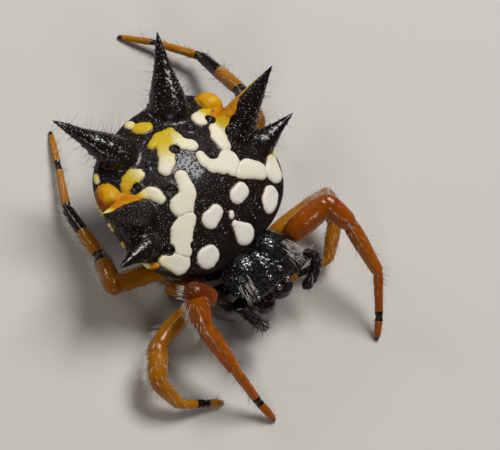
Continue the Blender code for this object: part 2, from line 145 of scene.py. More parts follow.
class Clay:
    """Closed forms in millimetres that are melted into one skin."""

    def __init__(self) -> None:
        """Starts with nothing."""
        self.shape = bmesh.new()

    def ball(self, centre: Sequence[float], radii: Sequence[float], turn: Optional[Matrix] = None) -> None:
        """Adds an ellipsoid.

        Args:
            centre: its middle.
            radii: its three half-axes.
            turn: how its axes are turned.
        """
        matrix = Matrix.Translation(Vector(centre)) @ (turn or Matrix.Identity(4))
        matrix = matrix @ Matrix.Diagonal((*radii, 1.0))
        bmesh.ops.create_icosphere(self.shape, subdivisions=3, radius=1.0, matrix=matrix)

    def ring(self, place: Vector, across: Vector, over: Vector, sides: int, squareness: float = 2.0) -> list:
        """Adds one closed loop of edges.

        Args:
            place: its middle.
            across: one half-axis.
            over: the other half-axis.
            sides: number of edges.
            squareness: 2 for an ellipse, more for a squarer outline.

        Returns:
            Its edges.
        """
        made = bmesh.ops.create_circle(self.shape, segments=sides, radius=1.0)["verts"]
        for vertex in made:
            cosine, sine = vertex.co.x, vertex.co.y
            vertex.co = place + (across * cosine + over * sine) * round_share(cosine, sine, squareness)
        return list({edge for vertex in made for edge in vertex.link_edges})

    def loft(self, rings: list) -> None:
        """Joins rings in order and closes both ends."""
        for first, second in zip(rings, rings[1:]):
            bmesh.ops.bridge_loops(self.shape, edges=first + second)
        for end in (rings[0], rings[-1]):
            bmesh.ops.contextual_create(self.shape, geom=end)

    def tube(self, stations: Sequence[Station], sides: int) -> None:
        """Adds a round tube along a line.

        Args:
            stations: places and half-widths from end to end.
            sides: number of sides.
        """
        across = Vector((0.0, 0.0, 1.0)).cross(stations[-1].place - stations[0].place)
        across = across if across.length > 0.001 else Vector((1.0, 0.0, 0.0))
        rings = []
        for index, station in enumerate(stations):
            before = stations[max(index - 1, 0)].place
            after = stations[min(index + 1, len(stations) - 1)].place
            direction = (after - before).normalized()
            across = (across - direction * across.dot(direction)).normalized()
            over = direction.cross(across)
            rings.append(self.ring(station.place, across * station.radius, over * station.radius, sides))
        self.loft(rings)

    def melt(self, voxel: float, smoothing: int) -> Mesh:
        """Melts everything added into one closed skin.

        Args:
            voxel: grain of the skin in millimetres.
            smoothing: rounds of smoothing.

        Returns:
            The skin, still in millimetres.
        """
        bmesh.ops.recalc_face_normals(self.shape, faces=self.shape.faces)
        rough = bpy.data.meshes.new("clay")
        self.shape.to_mesh(rough)
        self.shape.free()
        lump = bpy.data.objects.new("clay", rough)
        bpy.context.scene.collection.objects.link(lump)
        melting = lump.modifiers.new("melt", "REMESH")
        melting.mode = "VOXEL"
        melting.voxel_size = voxel
        fused = bpy.data.meshes.new_from_object(lump.evaluated_get(bpy.context.evaluated_depsgraph_get()))
        bpy.data.objects.remove(lump)
        bpy.data.meshes.remove(rough)
        shape = bmesh.new()
        shape.from_mesh(fused)
        for _ in range(smoothing):
            bmesh.ops.smooth_vert(shape, verts=shape.verts, factor=0.5, **EVERY_AXIS)
        shape.to_mesh(fused)
        shape.free()
        return fused


class Skin:
    """A melted skin in millimetres, with its places and normals at hand.

    Args:
        mesh: the skin.
    """

    def __init__(self, mesh: Mesh) -> None:
        """Keeps the mesh and reads it."""
        self.mesh = mesh
        self.read()

    def read(self) -> None:
        """Reads the places and the normals from the mesh."""
        flat = np.zeros(len(self.mesh.vertices) * 3)
        self.mesh.vertices.foreach_get("co", flat)
        self.places = flat.reshape(-1, 3).copy()
        self.mesh.vertex_normals.foreach_get("vector", flat)
        self.normals = flat.reshape(-1, 3).copy()

    def swell(self, amount: Rows) -> None:
        """Moves each point out along its normal.

        Args:
            amount: millimetres for each point.
        """
        self.move(self.places + self.normals * amount[:, None])

    def move(self, places: Rows) -> None:
        """Moves the points to new places."""
        self.mesh.vertices.foreach_set("co", places.reshape(-1))
        self.mesh.update()
        self.read()

    def relax(self, share: Rows, rounds: int) -> None:
        """Smooths part of the skin by moving points towards the middle of their neighbours.

        Args:
            share: from 0 for a point that stays to 1 for one that moves freely.
            rounds: how many times.
        """
        ends = np.zeros(len(self.mesh.edges) * 2, int)
        self.mesh.edges.foreach_get("vertices", ends)
        ends = ends.reshape(-1, 2)
        ends = ends[(share[ends] > 0.0).any(axis=1)]
        one, other = np.concatenate([ends, ends[:, ::-1]]).T
        count = len(self.places)
        degree = np.maximum(np.bincount(one, minlength=count), 1)
        moved = self.places.copy()
        for _ in range(rounds):
            for axis in range(3):
                middle = np.bincount(one, moved[other, axis], count) / degree
                moved[:, axis] += (middle - moved[:, axis]) * 0.5 * share
        self.move(moved)

    def paint(self, name: str, values: Rows) -> None:
        """Keeps a number on each point for the finish to read."""
        layer = self.mesh.attributes.new(name, "FLOAT", "POINT")
        layer.data.foreach_set("value", values.astype(np.float32))

    def scatter(self, count: int, density: Rows, seed: int) -> tuple[Rows, Rows]:
        """Picks places spread over the skin.

        Args:
            count: how many.
            density: how thickly they stand at each point.
            seed: start of the random numbers.

        Returns:
            The places and the normals there.
        """
        self.mesh.calc_loop_triangles()
        corners = np.zeros(len(self.mesh.loop_triangles) * 3, int)
        self.mesh.loop_triangles.foreach_get("vertices", corners)
        corners = corners.reshape(-1, 3)
        first, second, third = (self.places[corners[:, side]] for side in range(3))
        area = np.linalg.norm(np.cross(second - first, third - first), axis=1)
        weight = area * density[corners].mean(axis=1)
        picker = np.random.default_rng(seed)
        chosen = picker.choice(len(corners), size=count, p=weight / weight.sum())
        left, right = picker.random((2, count))
        over = left + right > 1.0
        left[over], right[over] = 1.0 - left[over], 1.0 - right[over]
        places = first[chosen] + (second[chosen] - first[chosen]) * left[:, None]
        places += (third[chosen] - first[chosen]) * right[:, None]
        normals = self.normals[corners[chosen]].mean(axis=1)
        return places, normals / np.linalg.norm(normals, axis=1)[:, None]


def ripple(places: Rows, grain: float, seed: int) -> Rows:
    """Smooth noise between -1 and 1 from a few crossed waves.

    Args:
        places: where it is read, in millimetres.
        grain: size of the ripples in millimetres.
        seed: start of the random numbers.

    Returns:
        One value for each place.
    """
    waves, calm, turn = 9, 4.5, 6.28
    picker = np.random.default_rng(seed)
    total = np.zeros(len(places))
    for _ in range(waves):
        direction = picker.normal(size=3)
        direction *= (0.7 + 0.6 * picker.random()) / np.linalg.norm(direction)
        total += np.sin(places @ direction * (2 * math.pi / grain) + picker.random() * turn)
    return total / calm


# Finishes


class Wiring:
    """Adds nodes to a tree and links them.

    Args:
        tree: the tree of a material or a group.
    """

    def __init__(self, tree: Tree) -> None:
        """Keeps the tree."""
        self.tree = tree

    def add(self, kind: str, settings: Optional[dict] = None, **values: object) -> Node:
        """Adds a node.

        Args:
            kind: its type without the word ShaderNode.
            settings: its properties.
            values: its inputs by name, each a value or a socket to link from.

        Returns:
            The node.
        """
        node = self.tree.nodes.new(kind if kind.startswith("NodeGroup") else "ShaderNode" + kind)
        for name, value in (settings or {}).items():
            setattr(node, name, value)
        self.fit(node, **values)
        return node

    def fit(self, node: Node, **values: object) -> None:
        """Feeds a node's inputs by name, each from a value or a socket."""
        for name, value in values.items():
            self.feed(node.inputs[name.replace("_", " ")], value)

    def feed(self, socket: Socket, value: object) -> None:
        """Sets a socket's value, or links it from another socket."""
        if isinstance(value, Socket):
            self.tree.links.new(value, socket)
        elif socket.type == "RGBA":
            socket.default_value = (*value, 1.0)
        else:
            socket.default_value = value

    def maths(self, work: str, first: object, second: object) -> Socket:
        """The result of one step of arithmetic."""
        node = self.add("Math", {"operation": work})
        self.feed(node.inputs[0], first)
        self.feed(node.inputs[1], second)
        return node.outputs[0]

    def times(self, first: object, *others: object) -> Socket:
        """The product of numbers."""
        for other in others:
            first = self.maths("MULTIPLY", first, other)
        return first

    def plus(self, first: object, *others: object) -> Socket:
        """The sum of numbers."""
        for other in others:
            first = self.maths("ADD", first, other)
        return first

    def spread(self, value: object, low: float, high: float, to_low: object = 0.0,
               to_high: object = 1.0) -> Socket:
        """A value's place between two limits, eased, as a number between two others."""
        limits = {"From_Min": low, "From_Max": high, "To_Min": to_low, "To_Max": to_high}
        return self.add("MapRange", {"interpolation_type": "SMOOTHSTEP"}, Value=value, **limits).outputs[0]

    def ease(self, share: object, first: object, second: object) -> Socket:
        """A number that goes from the first to the second as a share goes from 0 to 1."""
        return self.spread(share, 0.0, 1.0, first, second)

    def ridge(self, value: object, start: float, top: float, end: float) -> Socket:
        """A rise from 0 to 1 and back as a value passes from start over top to end."""
        return self.times(self.spread(value, start, top), self.spread(value, top, end, 1.0, 0.0))

    def blend(self, share: object, first: object, second: object) -> Socket:
        """A mix of two colours."""
        node = self.add("Mix", {"data_type": "RGBA"})
        for number, value in ((0, share), (6, first), (7, second)):
            self.feed(node.inputs[number], value)
        return node.outputs[2]

    def attribute(self, name: str) -> Socket:
        """The number kept on the skin under a name."""
        return self.add("Attribute", {"attribute_name": name}).outputs["Fac"]

    def place(self) -> Socket:
        """The place on the object, in millimetres."""
        scaled = self.add("VectorMath", {"operation": "SCALE"}, Scale=1.0 / MM)
        self.feed(scaled.inputs[0], self.add("TexCoord").outputs["Object"])
        return scaled.outputs[0]

    def relief(self, shader: Node, height: Socket, strength: float, depth: float) -> None:
        """Gives the shell and the gloss over it the same relief.

        Args:
            shader: the material's shader.
            height: the relief's height.
            strength: how strongly it shows.
            depth: its depth in millimetres.
        """
        bump = self.add("Bump", Height=height, Strength=strength, Distance=depth * MM)
        self.fit(shader, Normal=bump.outputs["Normal"], Coat_Normal=bump.outputs["Normal"])


def effect_group(name: str, inputs: dict[str, float], output: str) -> tuple[Wiring, Node, Socket]:
    """Starts a node group that makes one number from others.

    Args:
        name: its name.
        inputs: its inputs and their defaults.
        output: its output's name.

    Returns:
        Its wiring, its input node and the socket that its result goes to.
    """
    group = bpy.data.node_groups.new(name, "ShaderNodeTree")
    for socket, default in inputs.items():
        made = group.interface.new_socket(name=socket, in_out="INPUT", socket_type="NodeSocketFloat")
        made.default_value = default
    group.interface.new_socket(name=output, in_out="OUTPUT", socket_type="NodeSocketFloat")
    wiring = Wiring(group)
    start = wiring.add("NodeGroupInput")
    return wiring, start, wiring.add("NodeGroupOutput").inputs[output]


def pits_group() -> Tree:
    """The shell's fine pits: small round dimples packed close, and a softer swell under them."""
    found = bpy.data.node_groups.get("ShellPits")
    if found:
        return found
    wiring, start, height = effect_group("ShellPits", {"Spacing": 0.15, "Depth": 1.0, "Swell": 0.3}, "Height")
    place = wiring.place()
    wander = wiring.add("TexNoise", Vector=place, Scale=3.0, Detail=2.0)
    shifted = wiring.add("VectorMath", {"operation": "MULTIPLY_ADD"})
    for socket, value in zip(shifted.inputs, (wander.outputs["Color"], (0.12, 0.12, 0.12), place)):
        wiring.feed(socket, value)
    scale = wiring.maths("DIVIDE", 1.0, start.outputs["Spacing"])
    cells = wiring.add("TexVoronoi", Vector=shifted.outputs[0], Scale=scale)
    dimples = wiring.times(wiring.spread(cells.outputs["Distance"], 0.10, 0.42), start.outputs["Depth"])
    wave = wiring.add("TexNoise", Vector=place, Scale=wiring.times(scale, 0.35), Detail=3.0)
    wiring.feed(height, wiring.plus(dimples, wiring.times(wave.outputs["Fac"], start.outputs["Swell"])))
    return wiring.tree


def mottle_group() -> Tree:
    """Uneven colour: broad patches and fine specks as one number from 0 to 1."""
    found = bpy.data.node_groups.get("Mottle")
    if found:
        return found
    sizes = {"Patch": 0.8, "Speck": 0.08, "Speck Share": 0.4}
    wiring, start, amount = effect_group("Mottle", sizes, "Amount")
    place = wiring.place()
    layers = []
    for size, detail, low, high in (("Patch", 3.0, 0.3, 0.7), ("Speck", 2.0, 0.35, 0.65)):
        scale = wiring.maths("DIVIDE", 1.0, start.outputs[size])
        noise = wiring.add("TexNoise", Vector=place, Scale=scale, Detail=detail)
        layers.append(wiring.spread(noise.outputs["Fac"], low, high))
    share = start.outputs["Speck Share"]
    broad = wiring.times(layers[0], wiring.maths("SUBTRACT", 1.0, share))
    wiring.feed(amount, wiring.plus(broad, wiring.times(layers[1], share)))
    return wiring.tree


def pits(wiring: Wiring, spacing: float, depth: float, swell: float) -> Socket:
    """The height of the fine pits, in a material."""
    group = wiring.add("Group", {"node_tree": pits_group()}, Spacing=spacing, Depth=depth, Swell=swell)
    return group.outputs["Height"]


def mottle(wiring: Wiring, patch: float, speck: float, share: float) -> Socket:
    """The uneven colour's number, in a material."""
    group = wiring.add("Group", {"node_tree": mottle_group()}, Patch=patch, Speck=speck, Speck_Share=share)
    return group.outputs["Amount"]


def start_material(name: str) -> tuple[Material, Wiring, Node]:
    """A new material with its wiring and its shader."""
    material = bpy.data.materials.new(name)
    material.use_nodes = True
    return material, Wiring(material.node_tree), material.node_tree.nodes["Principled BSDF"]


@dataclass(frozen=True)
class AbdomenFinish:
    """Glossy black shell with enamel marks.

    Args:
        enamels: the marks' colours, each with the warmth at which it stands: cream, pale, lemon, yellow,
            orange and rust.
    """

    black: Colour = (0.004, 0.003, 0.003)
    brown: Colour = (0.012, 0.007, 0.004)
    rust: Colour = (0.20, 0.034, 0.001)
    outline: Colour = (0.20, 0.075, 0.02)
    enamels: tuple[tuple[float, Colour], ...] = (
        (0.0, (0.72, 0.68, 0.60)), (0.22, (0.72, 0.66, 0.38)), (0.4, (0.56, 0.40, 0.015)),
        (0.58, (0.60, 0.31, 0.003)), (0.8, (0.50, 0.145, 0.001)), (1.0, (0.20, 0.034, 0.001)),
    )
    edge: float = 0.016
    border_width: float = 0.055
    border_shade: float = 0.75
    seam_shade: float = 0.36
    stain: float = 0.1
    pit_spacing: float = 0.14
    grain_spacing: float = 0.17
    ring_height: float = 2.6
    shell_roughness: float = 0.34
    spine_roughness: float = 0.15
    enamel_roughness: float = 0.48
    wall_roughness: float = 0.6
    shell_gloss: float = 0.18
    bead_gloss: float = 0.82
    enamel_gloss: float = 0.025
    wall_share: float = 0.2

    def colours(self, wiring: Wiring, inside: Socket) -> Socket:
        """The colour of marks and ground, from 1 on the marks and 0 on the black."""
        ramp = wiring.add("ValToRGB", Fac=wiring.attribute("warm"))
        elements = ramp.color_ramp.elements
        while len(elements) < len(self.enamels):
            elements.new(0.5)
        for element, (at, colour) in zip(elements, self.enamels):
            element.position = at
            element.color = (*colour, 1.0)
        uneven = mottle(wiring, 0.9, 0.1, 0.35)
        enamel = wiring.blend(wiring.ease(uneven, 0.0, self.stain), ramp.outputs["Color"], self.rust)
        border = wiring.spread(wiring.attribute("mark"), 0.0, self.border_width, self.border_shade, 0.0)
        enamel = wiring.blend(border, enamel, self.outline)
        seam = wiring.spread(wiring.attribute("seam"), 0.2, 1.0, 0.0, self.seam_shade)
        enamel = wiring.blend(seam, enamel, self.outline)
        return wiring.blend(inside, wiring.blend(uneven, self.black, self.brown), enamel)

    def height(self, wiring: Wiring, inside: Socket, spine: Socket) -> Socket:
        """The relief: pits on the shell, grain on the spines and rings in the hollows."""
        hollow = wiring.attribute("pit")
        ground = wiring.times(
            pits(wiring, self.pit_spacing, 0.8, 0.6), wiring.ease(inside, 1.0, 0.2),
            wiring.spread(hollow, 0.1, 0.35, 1.0, 0.0), wiring.ease(spine, 1.0, 0.25),
        )
        scale = 1.0 / self.grain_spacing
        cells = wiring.add("TexVoronoi", {"feature": "SMOOTH_F1"}, Vector=wiring.place(), Scale=scale)
        grain = wiring.times(wiring.spread(cells.outputs["Distance"], 0.0, 0.5, 1.0, 0.0), spine, 0.6)
        rings = wiring.plus(wiring.ridge(hollow, 0.16, 0.28, 0.4), wiring.ridge(hollow, 0.62, 0.74, 0.86))
        return wiring.plus(ground, grain, wiring.times(rings, self.ring_height))

    def gloss(self, wiring: Wiring, inside: Socket, spine: Socket) -> Socket:
        """The coat's weight: strong on the granules, weak on the shell, faint on the enamel."""
        beads = wiring.spread(spine, 1.05, 1.3, 0.0, self.bead_gloss)
        shell = wiring.plus(self.shell_gloss, beads)
        shell = wiring.times(shell, wiring.ease(wiring.attribute("wall"), 1.0, self.wall_share))
        return wiring.ease(inside, shell, self.enamel_gloss)

    def roughness(self, wiring: Wiring, inside: Socket, spine: Socket) -> Socket:
        """The roughness of shell, spines, side wall and enamel."""
        shell = wiring.ease(spine, self.shell_roughness, self.spine_roughness)
        shell = wiring.ease(wiring.attribute("wall"), shell, self.wall_roughness)
        return wiring.ease(inside, shell, self.enamel_roughness)

    def material(self) -> Material:
        """Builds the material."""
        material, wiring, shader = start_material("abdomen_shell")
        inside = wiring.spread(wiring.attribute("mark"), -self.edge, self.edge)
        spine = wiring.attribute("spine")
        wiring.relief(shader, self.height(wiring, inside, spine), 0.45, 0.06)
        wiring.fit(
            shader, Base_Color=self.colours(wiring, inside), Roughness=self.roughness(wiring, inside, spine),
            Coat_Weight=self.gloss(wiring, inside, spine), Coat_IOR=1.8, Coat_Roughness=0.14,
            Specular_IOR_Level=0.13, Specular_Tint=(1.0, 0.97, 0.92),
        )
        return material


@dataclass(frozen=True)
class ShellFinish:
    """Glossy dark shell, finely pitted, for the head, the jaws, the feelers and the hips."""

    name: str
    dark: Colour
    light: Colour
    roughness: float
    pit_spacing: float
    pit_depth: float
    gloss: float
    shine: float
    speck: float = 0.085

    def material(self) -> Material:
        """Builds the material."""
        material, wiring, shader = start_material(self.name)
        uneven = mottle(wiring, 0.6, 0.1, 0.5)
        cells = wiring.add("TexVoronoi", Vector=wiring.place(), Scale=1.0 / self.speck)
        wiring.relief(shader, pits(wiring, self.pit_spacing, 1.0, 0.5), self.pit_depth, 0.14)
        wiring.fit(
            shader, Base_Color=wiring.blend(uneven, self.dark, self.light),
            Roughness=wiring.ease(uneven, self.roughness * 0.75, self.roughness * 1.3),
            Coat_Weight=wiring.spread(cells.outputs["Distance"], 0.34, 0.52, self.gloss, self.gloss * 0.1),
            Coat_IOR=2.0, Coat_Roughness=0.2, Specular_IOR_Level=self.shine, Specular_Tint=(0.72, 0.84, 1.0),
        )
        return material


HEAD_SHELL = ShellFinish(
    "head_shell", dark=(0.002, 0.0015, 0.0015), light=(0.006, 0.004, 0.003), roughness=0.24,
    pit_spacing=0.12, pit_depth=0.75, gloss=1.0, shine=0.12,
)
FEELER_SHELL = ShellFinish(
    "feeler_shell", dark=(0.004, 0.002, 0.0015), light=(0.009, 0.004, 0.003), roughness=0.36,
    pit_spacing=0.1, pit_depth=0.4, gloss=0.1, shine=0.16,
)
JAW_SHELL = ShellFinish(
    "jaw_shell", dark=(0.004, 0.0015, 0.001), light=(0.009, 0.003, 0.002), roughness=0.24,
    pit_spacing=0.3, pit_depth=0.2, gloss=0.2, shine=0.2,
)
HIP_SHELL = ShellFinish(
    "hip_shell", dark=(0.006, 0.002, 0.0015), light=(0.02, 0.007, 0.004), roughness=0.3,
    pit_spacing=0.2, pit_depth=0.4, gloss=0.0, shine=0.4,
)


@dataclass(frozen=True)
class LegFinish:
    """Waxy orange to ochre leg with black rings and dark hips, and painted shade on the right front thighs.
    """

    ochre: Colour = (0.40, 0.155, 0.002)
    orange: Colour = (0.33, 0.060, 0.001)
    russet: Colour = (0.09, 0.014, 0.001)
    black: Colour = (0.004, 0.002, 0.001)
    stain: float = 0.26

    def material(self) -> Material:
        """Builds the material."""
        material, wiring, shader = start_material("leg_skin")
        uneven = mottle(wiring, 0.7, 0.07, 0.45)
        flesh = wiring.blend(wiring.attribute("red"), self.ochre, self.orange)
        flesh = wiring.blend(wiring.spread(uneven, 0.35, 1.0, 0.0, self.stain), flesh, self.russet)
        # The rust number gives russet knees and, on the right front leg, painted shade over the thigh.
        flesh = wiring.blend(wiring.attribute("rust"), flesh, self.russet)
        ragged = wiring.times(wiring.maths("SUBTRACT", uneven, 0.5), 0.5)
        # The dark number gives black hips and rings, and painted shade down the right front thighs.
        ring = wiring.spread(wiring.plus(wiring.attribute("dark"), ragged), 0.35, 0.65)
        wiring.relief(shader, pits(wiring, 0.11, 0.6, 0.8), 0.3, 0.04)
        wiring.fit(
            shader, Base_Color=wiring.blend(ring, flesh, self.black),
            Roughness=wiring.ease(uneven, 0.15, 0.3), Specular_IOR_Level=0.2,
            Specular_Tint=(1.0, 0.84, 0.68), Coat_Weight=0.3, Coat_Roughness=0.12,
            Subsurface_Weight=0.12, Subsurface_Radius=(0.5, 0.2, 0.05), Subsurface_Scale=0.4 * MM,
        )
        return material


@dataclass(frozen=True)
class HairFinish:
    """Fine hair, darker at random along the coat."""

    name: str
    light: Colour
    dark: Colour
    roughness: float

    def material(self) -> Material:
        """Builds the material."""
        material, wiring, shader = start_material(self.name)
        colour = wiring.blend(mottle(wiring, 0.5, 0.15, 0.5), self.light, self.dark)
        wiring.fit(shader, Base_Color=colour, Roughness=self.roughness)
        return material


@dataclass(frozen=True)
class EyeFinish:
    """Polished black eye with a faint warm depth."""

    dark: Colour = (0.003, 0.003, 0.004)
    warm: Colour = (0.022, 0.012, 0.006)

    def material(self) -> Material:
        """Builds the material."""
        material, wiring, shader = start_material("eye_lens")
        colour = wiring.blend(mottle(wiring, 0.3, 0.05, 0.2), self.dark, self.warm)
        wiring.fit(shader, Base_Color=colour, Roughness=0.24, IOR=2.4)
        return material


@dataclass(frozen=True)
class FloorFinish:
    """Plain pale matt floor."""

    tone: Colour = (0.52, 0.49, 0.45)

    def material(self) -> Material:
        """Builds the material."""
        material, wiring, shader = start_material("floor")
        wiring.fit(shader, Base_Color=self.tone, Roughness=0.8)
        return material


# Placing


def settle(mesh: Mesh, name: str, space: BodySpace, finish: Material,
           nodes: Sequence[str] = ()) -> Piece:
    """Puts a finished mesh on the spider.

    Args:
        mesh: the piece, in millimetres.
        name: the piece's name.
        space: the spider's frame.
        finish: its material.
        nodes: the solids that it stands for.

    Returns:
        The piece.
    """
    mesh.name = name
    mesh.transform(space.matrix())
    mesh.shade_smooth()
    mesh.materials.clear()
    mesh.materials.append(finish)
    piece = bpy.data.objects.new(name, mesh)
    bpy.context.scene.collection.objects.link(piece)
    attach(piece, "root")
    if nodes:
        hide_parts(*nodes)
    log.info("%s: %d faces", name, len(mesh.polygons))
    return piece


def settle_skin(skin: Skin, name: str, space: BodySpace, finish: Material,
                nodes: Sequence[str]) -> Skin:
    """Puts a finished skin on the spider, and gives a copy in millimetres for hairs to grow on."""
    kept = Skin(skin.mesh.copy())
    settle(skin.mesh, name, space, finish, nodes)
    return kept


# Repeated forms


class Seed(NamedTuple):
    """A small form that is repeated: its points and the points of each face."""

    places: Rows
    faces: list[list[int]]

    @classmethod
    def from_shape(cls, shape: bmesh.types.BMesh) -> "Seed":
        """Reads a form from its shape, which is freed."""
        shape.verts.index_update()
        places = np.array([vertex.co[:] for vertex in shape.verts])
        faces = [[vertex.index for vertex in face.verts] for face in shape.faces]
        shape.free()
        return cls(places, faces)

    def sow(self, name: str, places: Rows) -> Mesh:
        """Joins many copies of the form into one mesh.

        Args:
            name: the mesh's name.
            places: each copy's points.

        Returns:
            The mesh.
        """
        step = len(self.places)
        starts = range(0, len(places) * step, step)
        faces = [[start + vertex for vertex in face] for start in starts for face in self.faces]
        mesh = bpy.data.meshes.new(name)
        mesh.from_pydata(places.reshape(-1, 3).tolist(), [], faces)
        return mesh


def axes_along(along: Rows) -> tuple[Rows, Rows, Rows]:
    """Unit directions along and across each of many lines."""
    along = along / np.linalg.norm(along, axis=1)[:, None]
    side = np.cross(along, np.array([0.31, 0.22, 0.93]))
    side /= np.linalg.norm(side, axis=1)[:, None]
    return along, side, np.cross(along, side)


# Coat


class HairPlan(NamedTuple):
    """Hairs to be grown: one row for each hair."""

    roots: Rows
    directions: Rows
    lengths: Rows
    bends: Rows
    widths: Rows
    unwraps: Rows


@dataclass
class Coat:
    """Fine hairs joined into one mesh.

    Args:
        name: the piece's name.
        finish: its material.
        slot: the record's material slot; not used.
    """

    name: str
    finish: Material
    slot: str
    plans: list[HairPlan] = field(default_factory=list)
    patch: float = 0.003
    lowest: float = 0.02
    bends_at: tuple[float, ...] = (0.3, 0.6, 0.82)
    tip: float = 0.16

    def strand(self) -> Seed:
        """One straight hair of unit length and width."""
        shape = bmesh.new()
        up = Matrix.Translation((0.0, 0.0, 0.5))
        bmesh.ops.create_cone(
            shape, cap_ends=True, segments=3, radius1=1.0, radius2=self.tip, depth=1.0, matrix=up
        )
        for height in self.bends_at:
            everything = shape.verts[:] + shape.edges[:] + shape.faces[:]
            bmesh.ops.bisect_plane(shape, geom=everything, plane_co=(0, 0, height), plane_no=(0, 0, 1))
        return Seed.from_shape(shape)

    def grow(self, space: BodySpace) -> Piece:
        """Builds the coat's mesh from its plans.

        Args:
            space: the spider's frame.

        Returns:
            The coat's piece.
        """
        seed = self.strand()
        strand, rise = seed.places, seed.places[:, 2]
        plan = HairPlan(*(np.concatenate(column) for column in zip(*self.plans)))
        along, side, over = axes_along(plan.directions)
        width = (plan.widths[:, None] * strand[None, :, 0])[..., None] * side[:, None]
        width = width + (plan.widths[:, None] * strand[None, :, 1])[..., None] * over[:, None]
        reach = plan.lengths[:, None, None]
        places = plan.roots[:, None] + along[:, None] * rise[None, :, None] * reach
        places = places + plan.bends[:, None] * (rise ** 2)[None, :, None] * reach + width
        places[:, :, 2] = np.maximum(places[:, :, 2], self.lowest)
        mesh = seed.sow(self.name, places)
        layer = mesh.uv_layers.new(name="OFBake")
        loops = np.zeros(len(mesh.loops), int)
        mesh.loops.foreach_get("vertex_index", loops)
        spread = strand[:, :2] * 0.5 + (rise[:, None] - 0.5) * 0.4
        corner = plan.unwraps[:, None] + spread[None] * self.patch
        corner = np.clip(corner.reshape(-1, 2), 0.0, 1.0)
        layer.data.foreach_set("uv", corner[loops].reshape(-1).astype(np.float32))
        return settle(mesh, self.name, space, self.finish)


def unwrap_round(places: Rows, centre: Sequence[float], axis: int, span: tuple[float, float]) -> Rows:
    """Where places fall on an unwrap of a round form: the turn about its axis, and the way along it.

    Args:
        places: the places.
        centre: a point on the axis.
        axis: 0, 1 or 2 for the axis that the form is unrolled about.
        span: the form's reach along that axis.

    Returns:
        Two numbers from 0 to 1 for each place.
    """
    first, second = [side for side in range(3) if side != axis]
    off = places - np.array(centre)
    turn = np.arctan2(off[:, first], off[:, second]) / (2 * math.pi) + 0.5
    return np.stack([turn, fade(places[:, axis], *span)], axis=1)


# Abdomen


class Side(Enum):
    """The two sides of the body."""

    LEFT = 1
    RIGHT = -1

    def place(self, place: Sequence[float]) -> Vector:
        """A place of the left side, on this side."""
        return Vector((self.value * place[0], place[1], place[2]))


class Dab(NamedTuple):
    """A round touch of enamel, in millimetres.

    Args:
        x: its place across the body.
        y: its place along it.
        radius: its size.
        warm: its colour, from 0 for cream to 1 for rust.
        z: its height, where it isn't on the back.
    """

    x: float
    y: float
    radius: float
    warm: float = 0.0
    z: Optional[float] = None


FLARED = (
    (-0.3, 0.35), (-0.2, 0.75), (-0.1, 0.95), (0.0, 1.0), (0.16, 0.86), (0.32, 0.69), (0.5, 0.47),
    (0.65, 0.34), (0.8, 0.235), (0.92, 0.125), (1.0, 0.06), (1.03, 0.03),
)
STRAIGHT = (
    (-0.3, 0.4), (-0.2, 0.8), (-0.1, 0.98), (0.0, 1.0), (0.12, 0.9), (0.3, 0.74), (0.47, 0.58), (0.62, 0.42),
    (0.75, 0.29), (0.9, 0.14), (1.0, 0.06), (1.03, 0.03),
)


class SpineForm(NamedTuple):
    """One pair of spines.

    Args:
        root: the left one's root.
        tip: its tip.
        along_body: its half-width fore and aft.
        upright: its half-width over that.
        profile: (share of its length, share of its half-width) pairs.
        granules: how many small knobs it carries.
    """

    root: Place
    tip: Place
    along_body: float
    upright: float
    profile: Profile
    granules: int


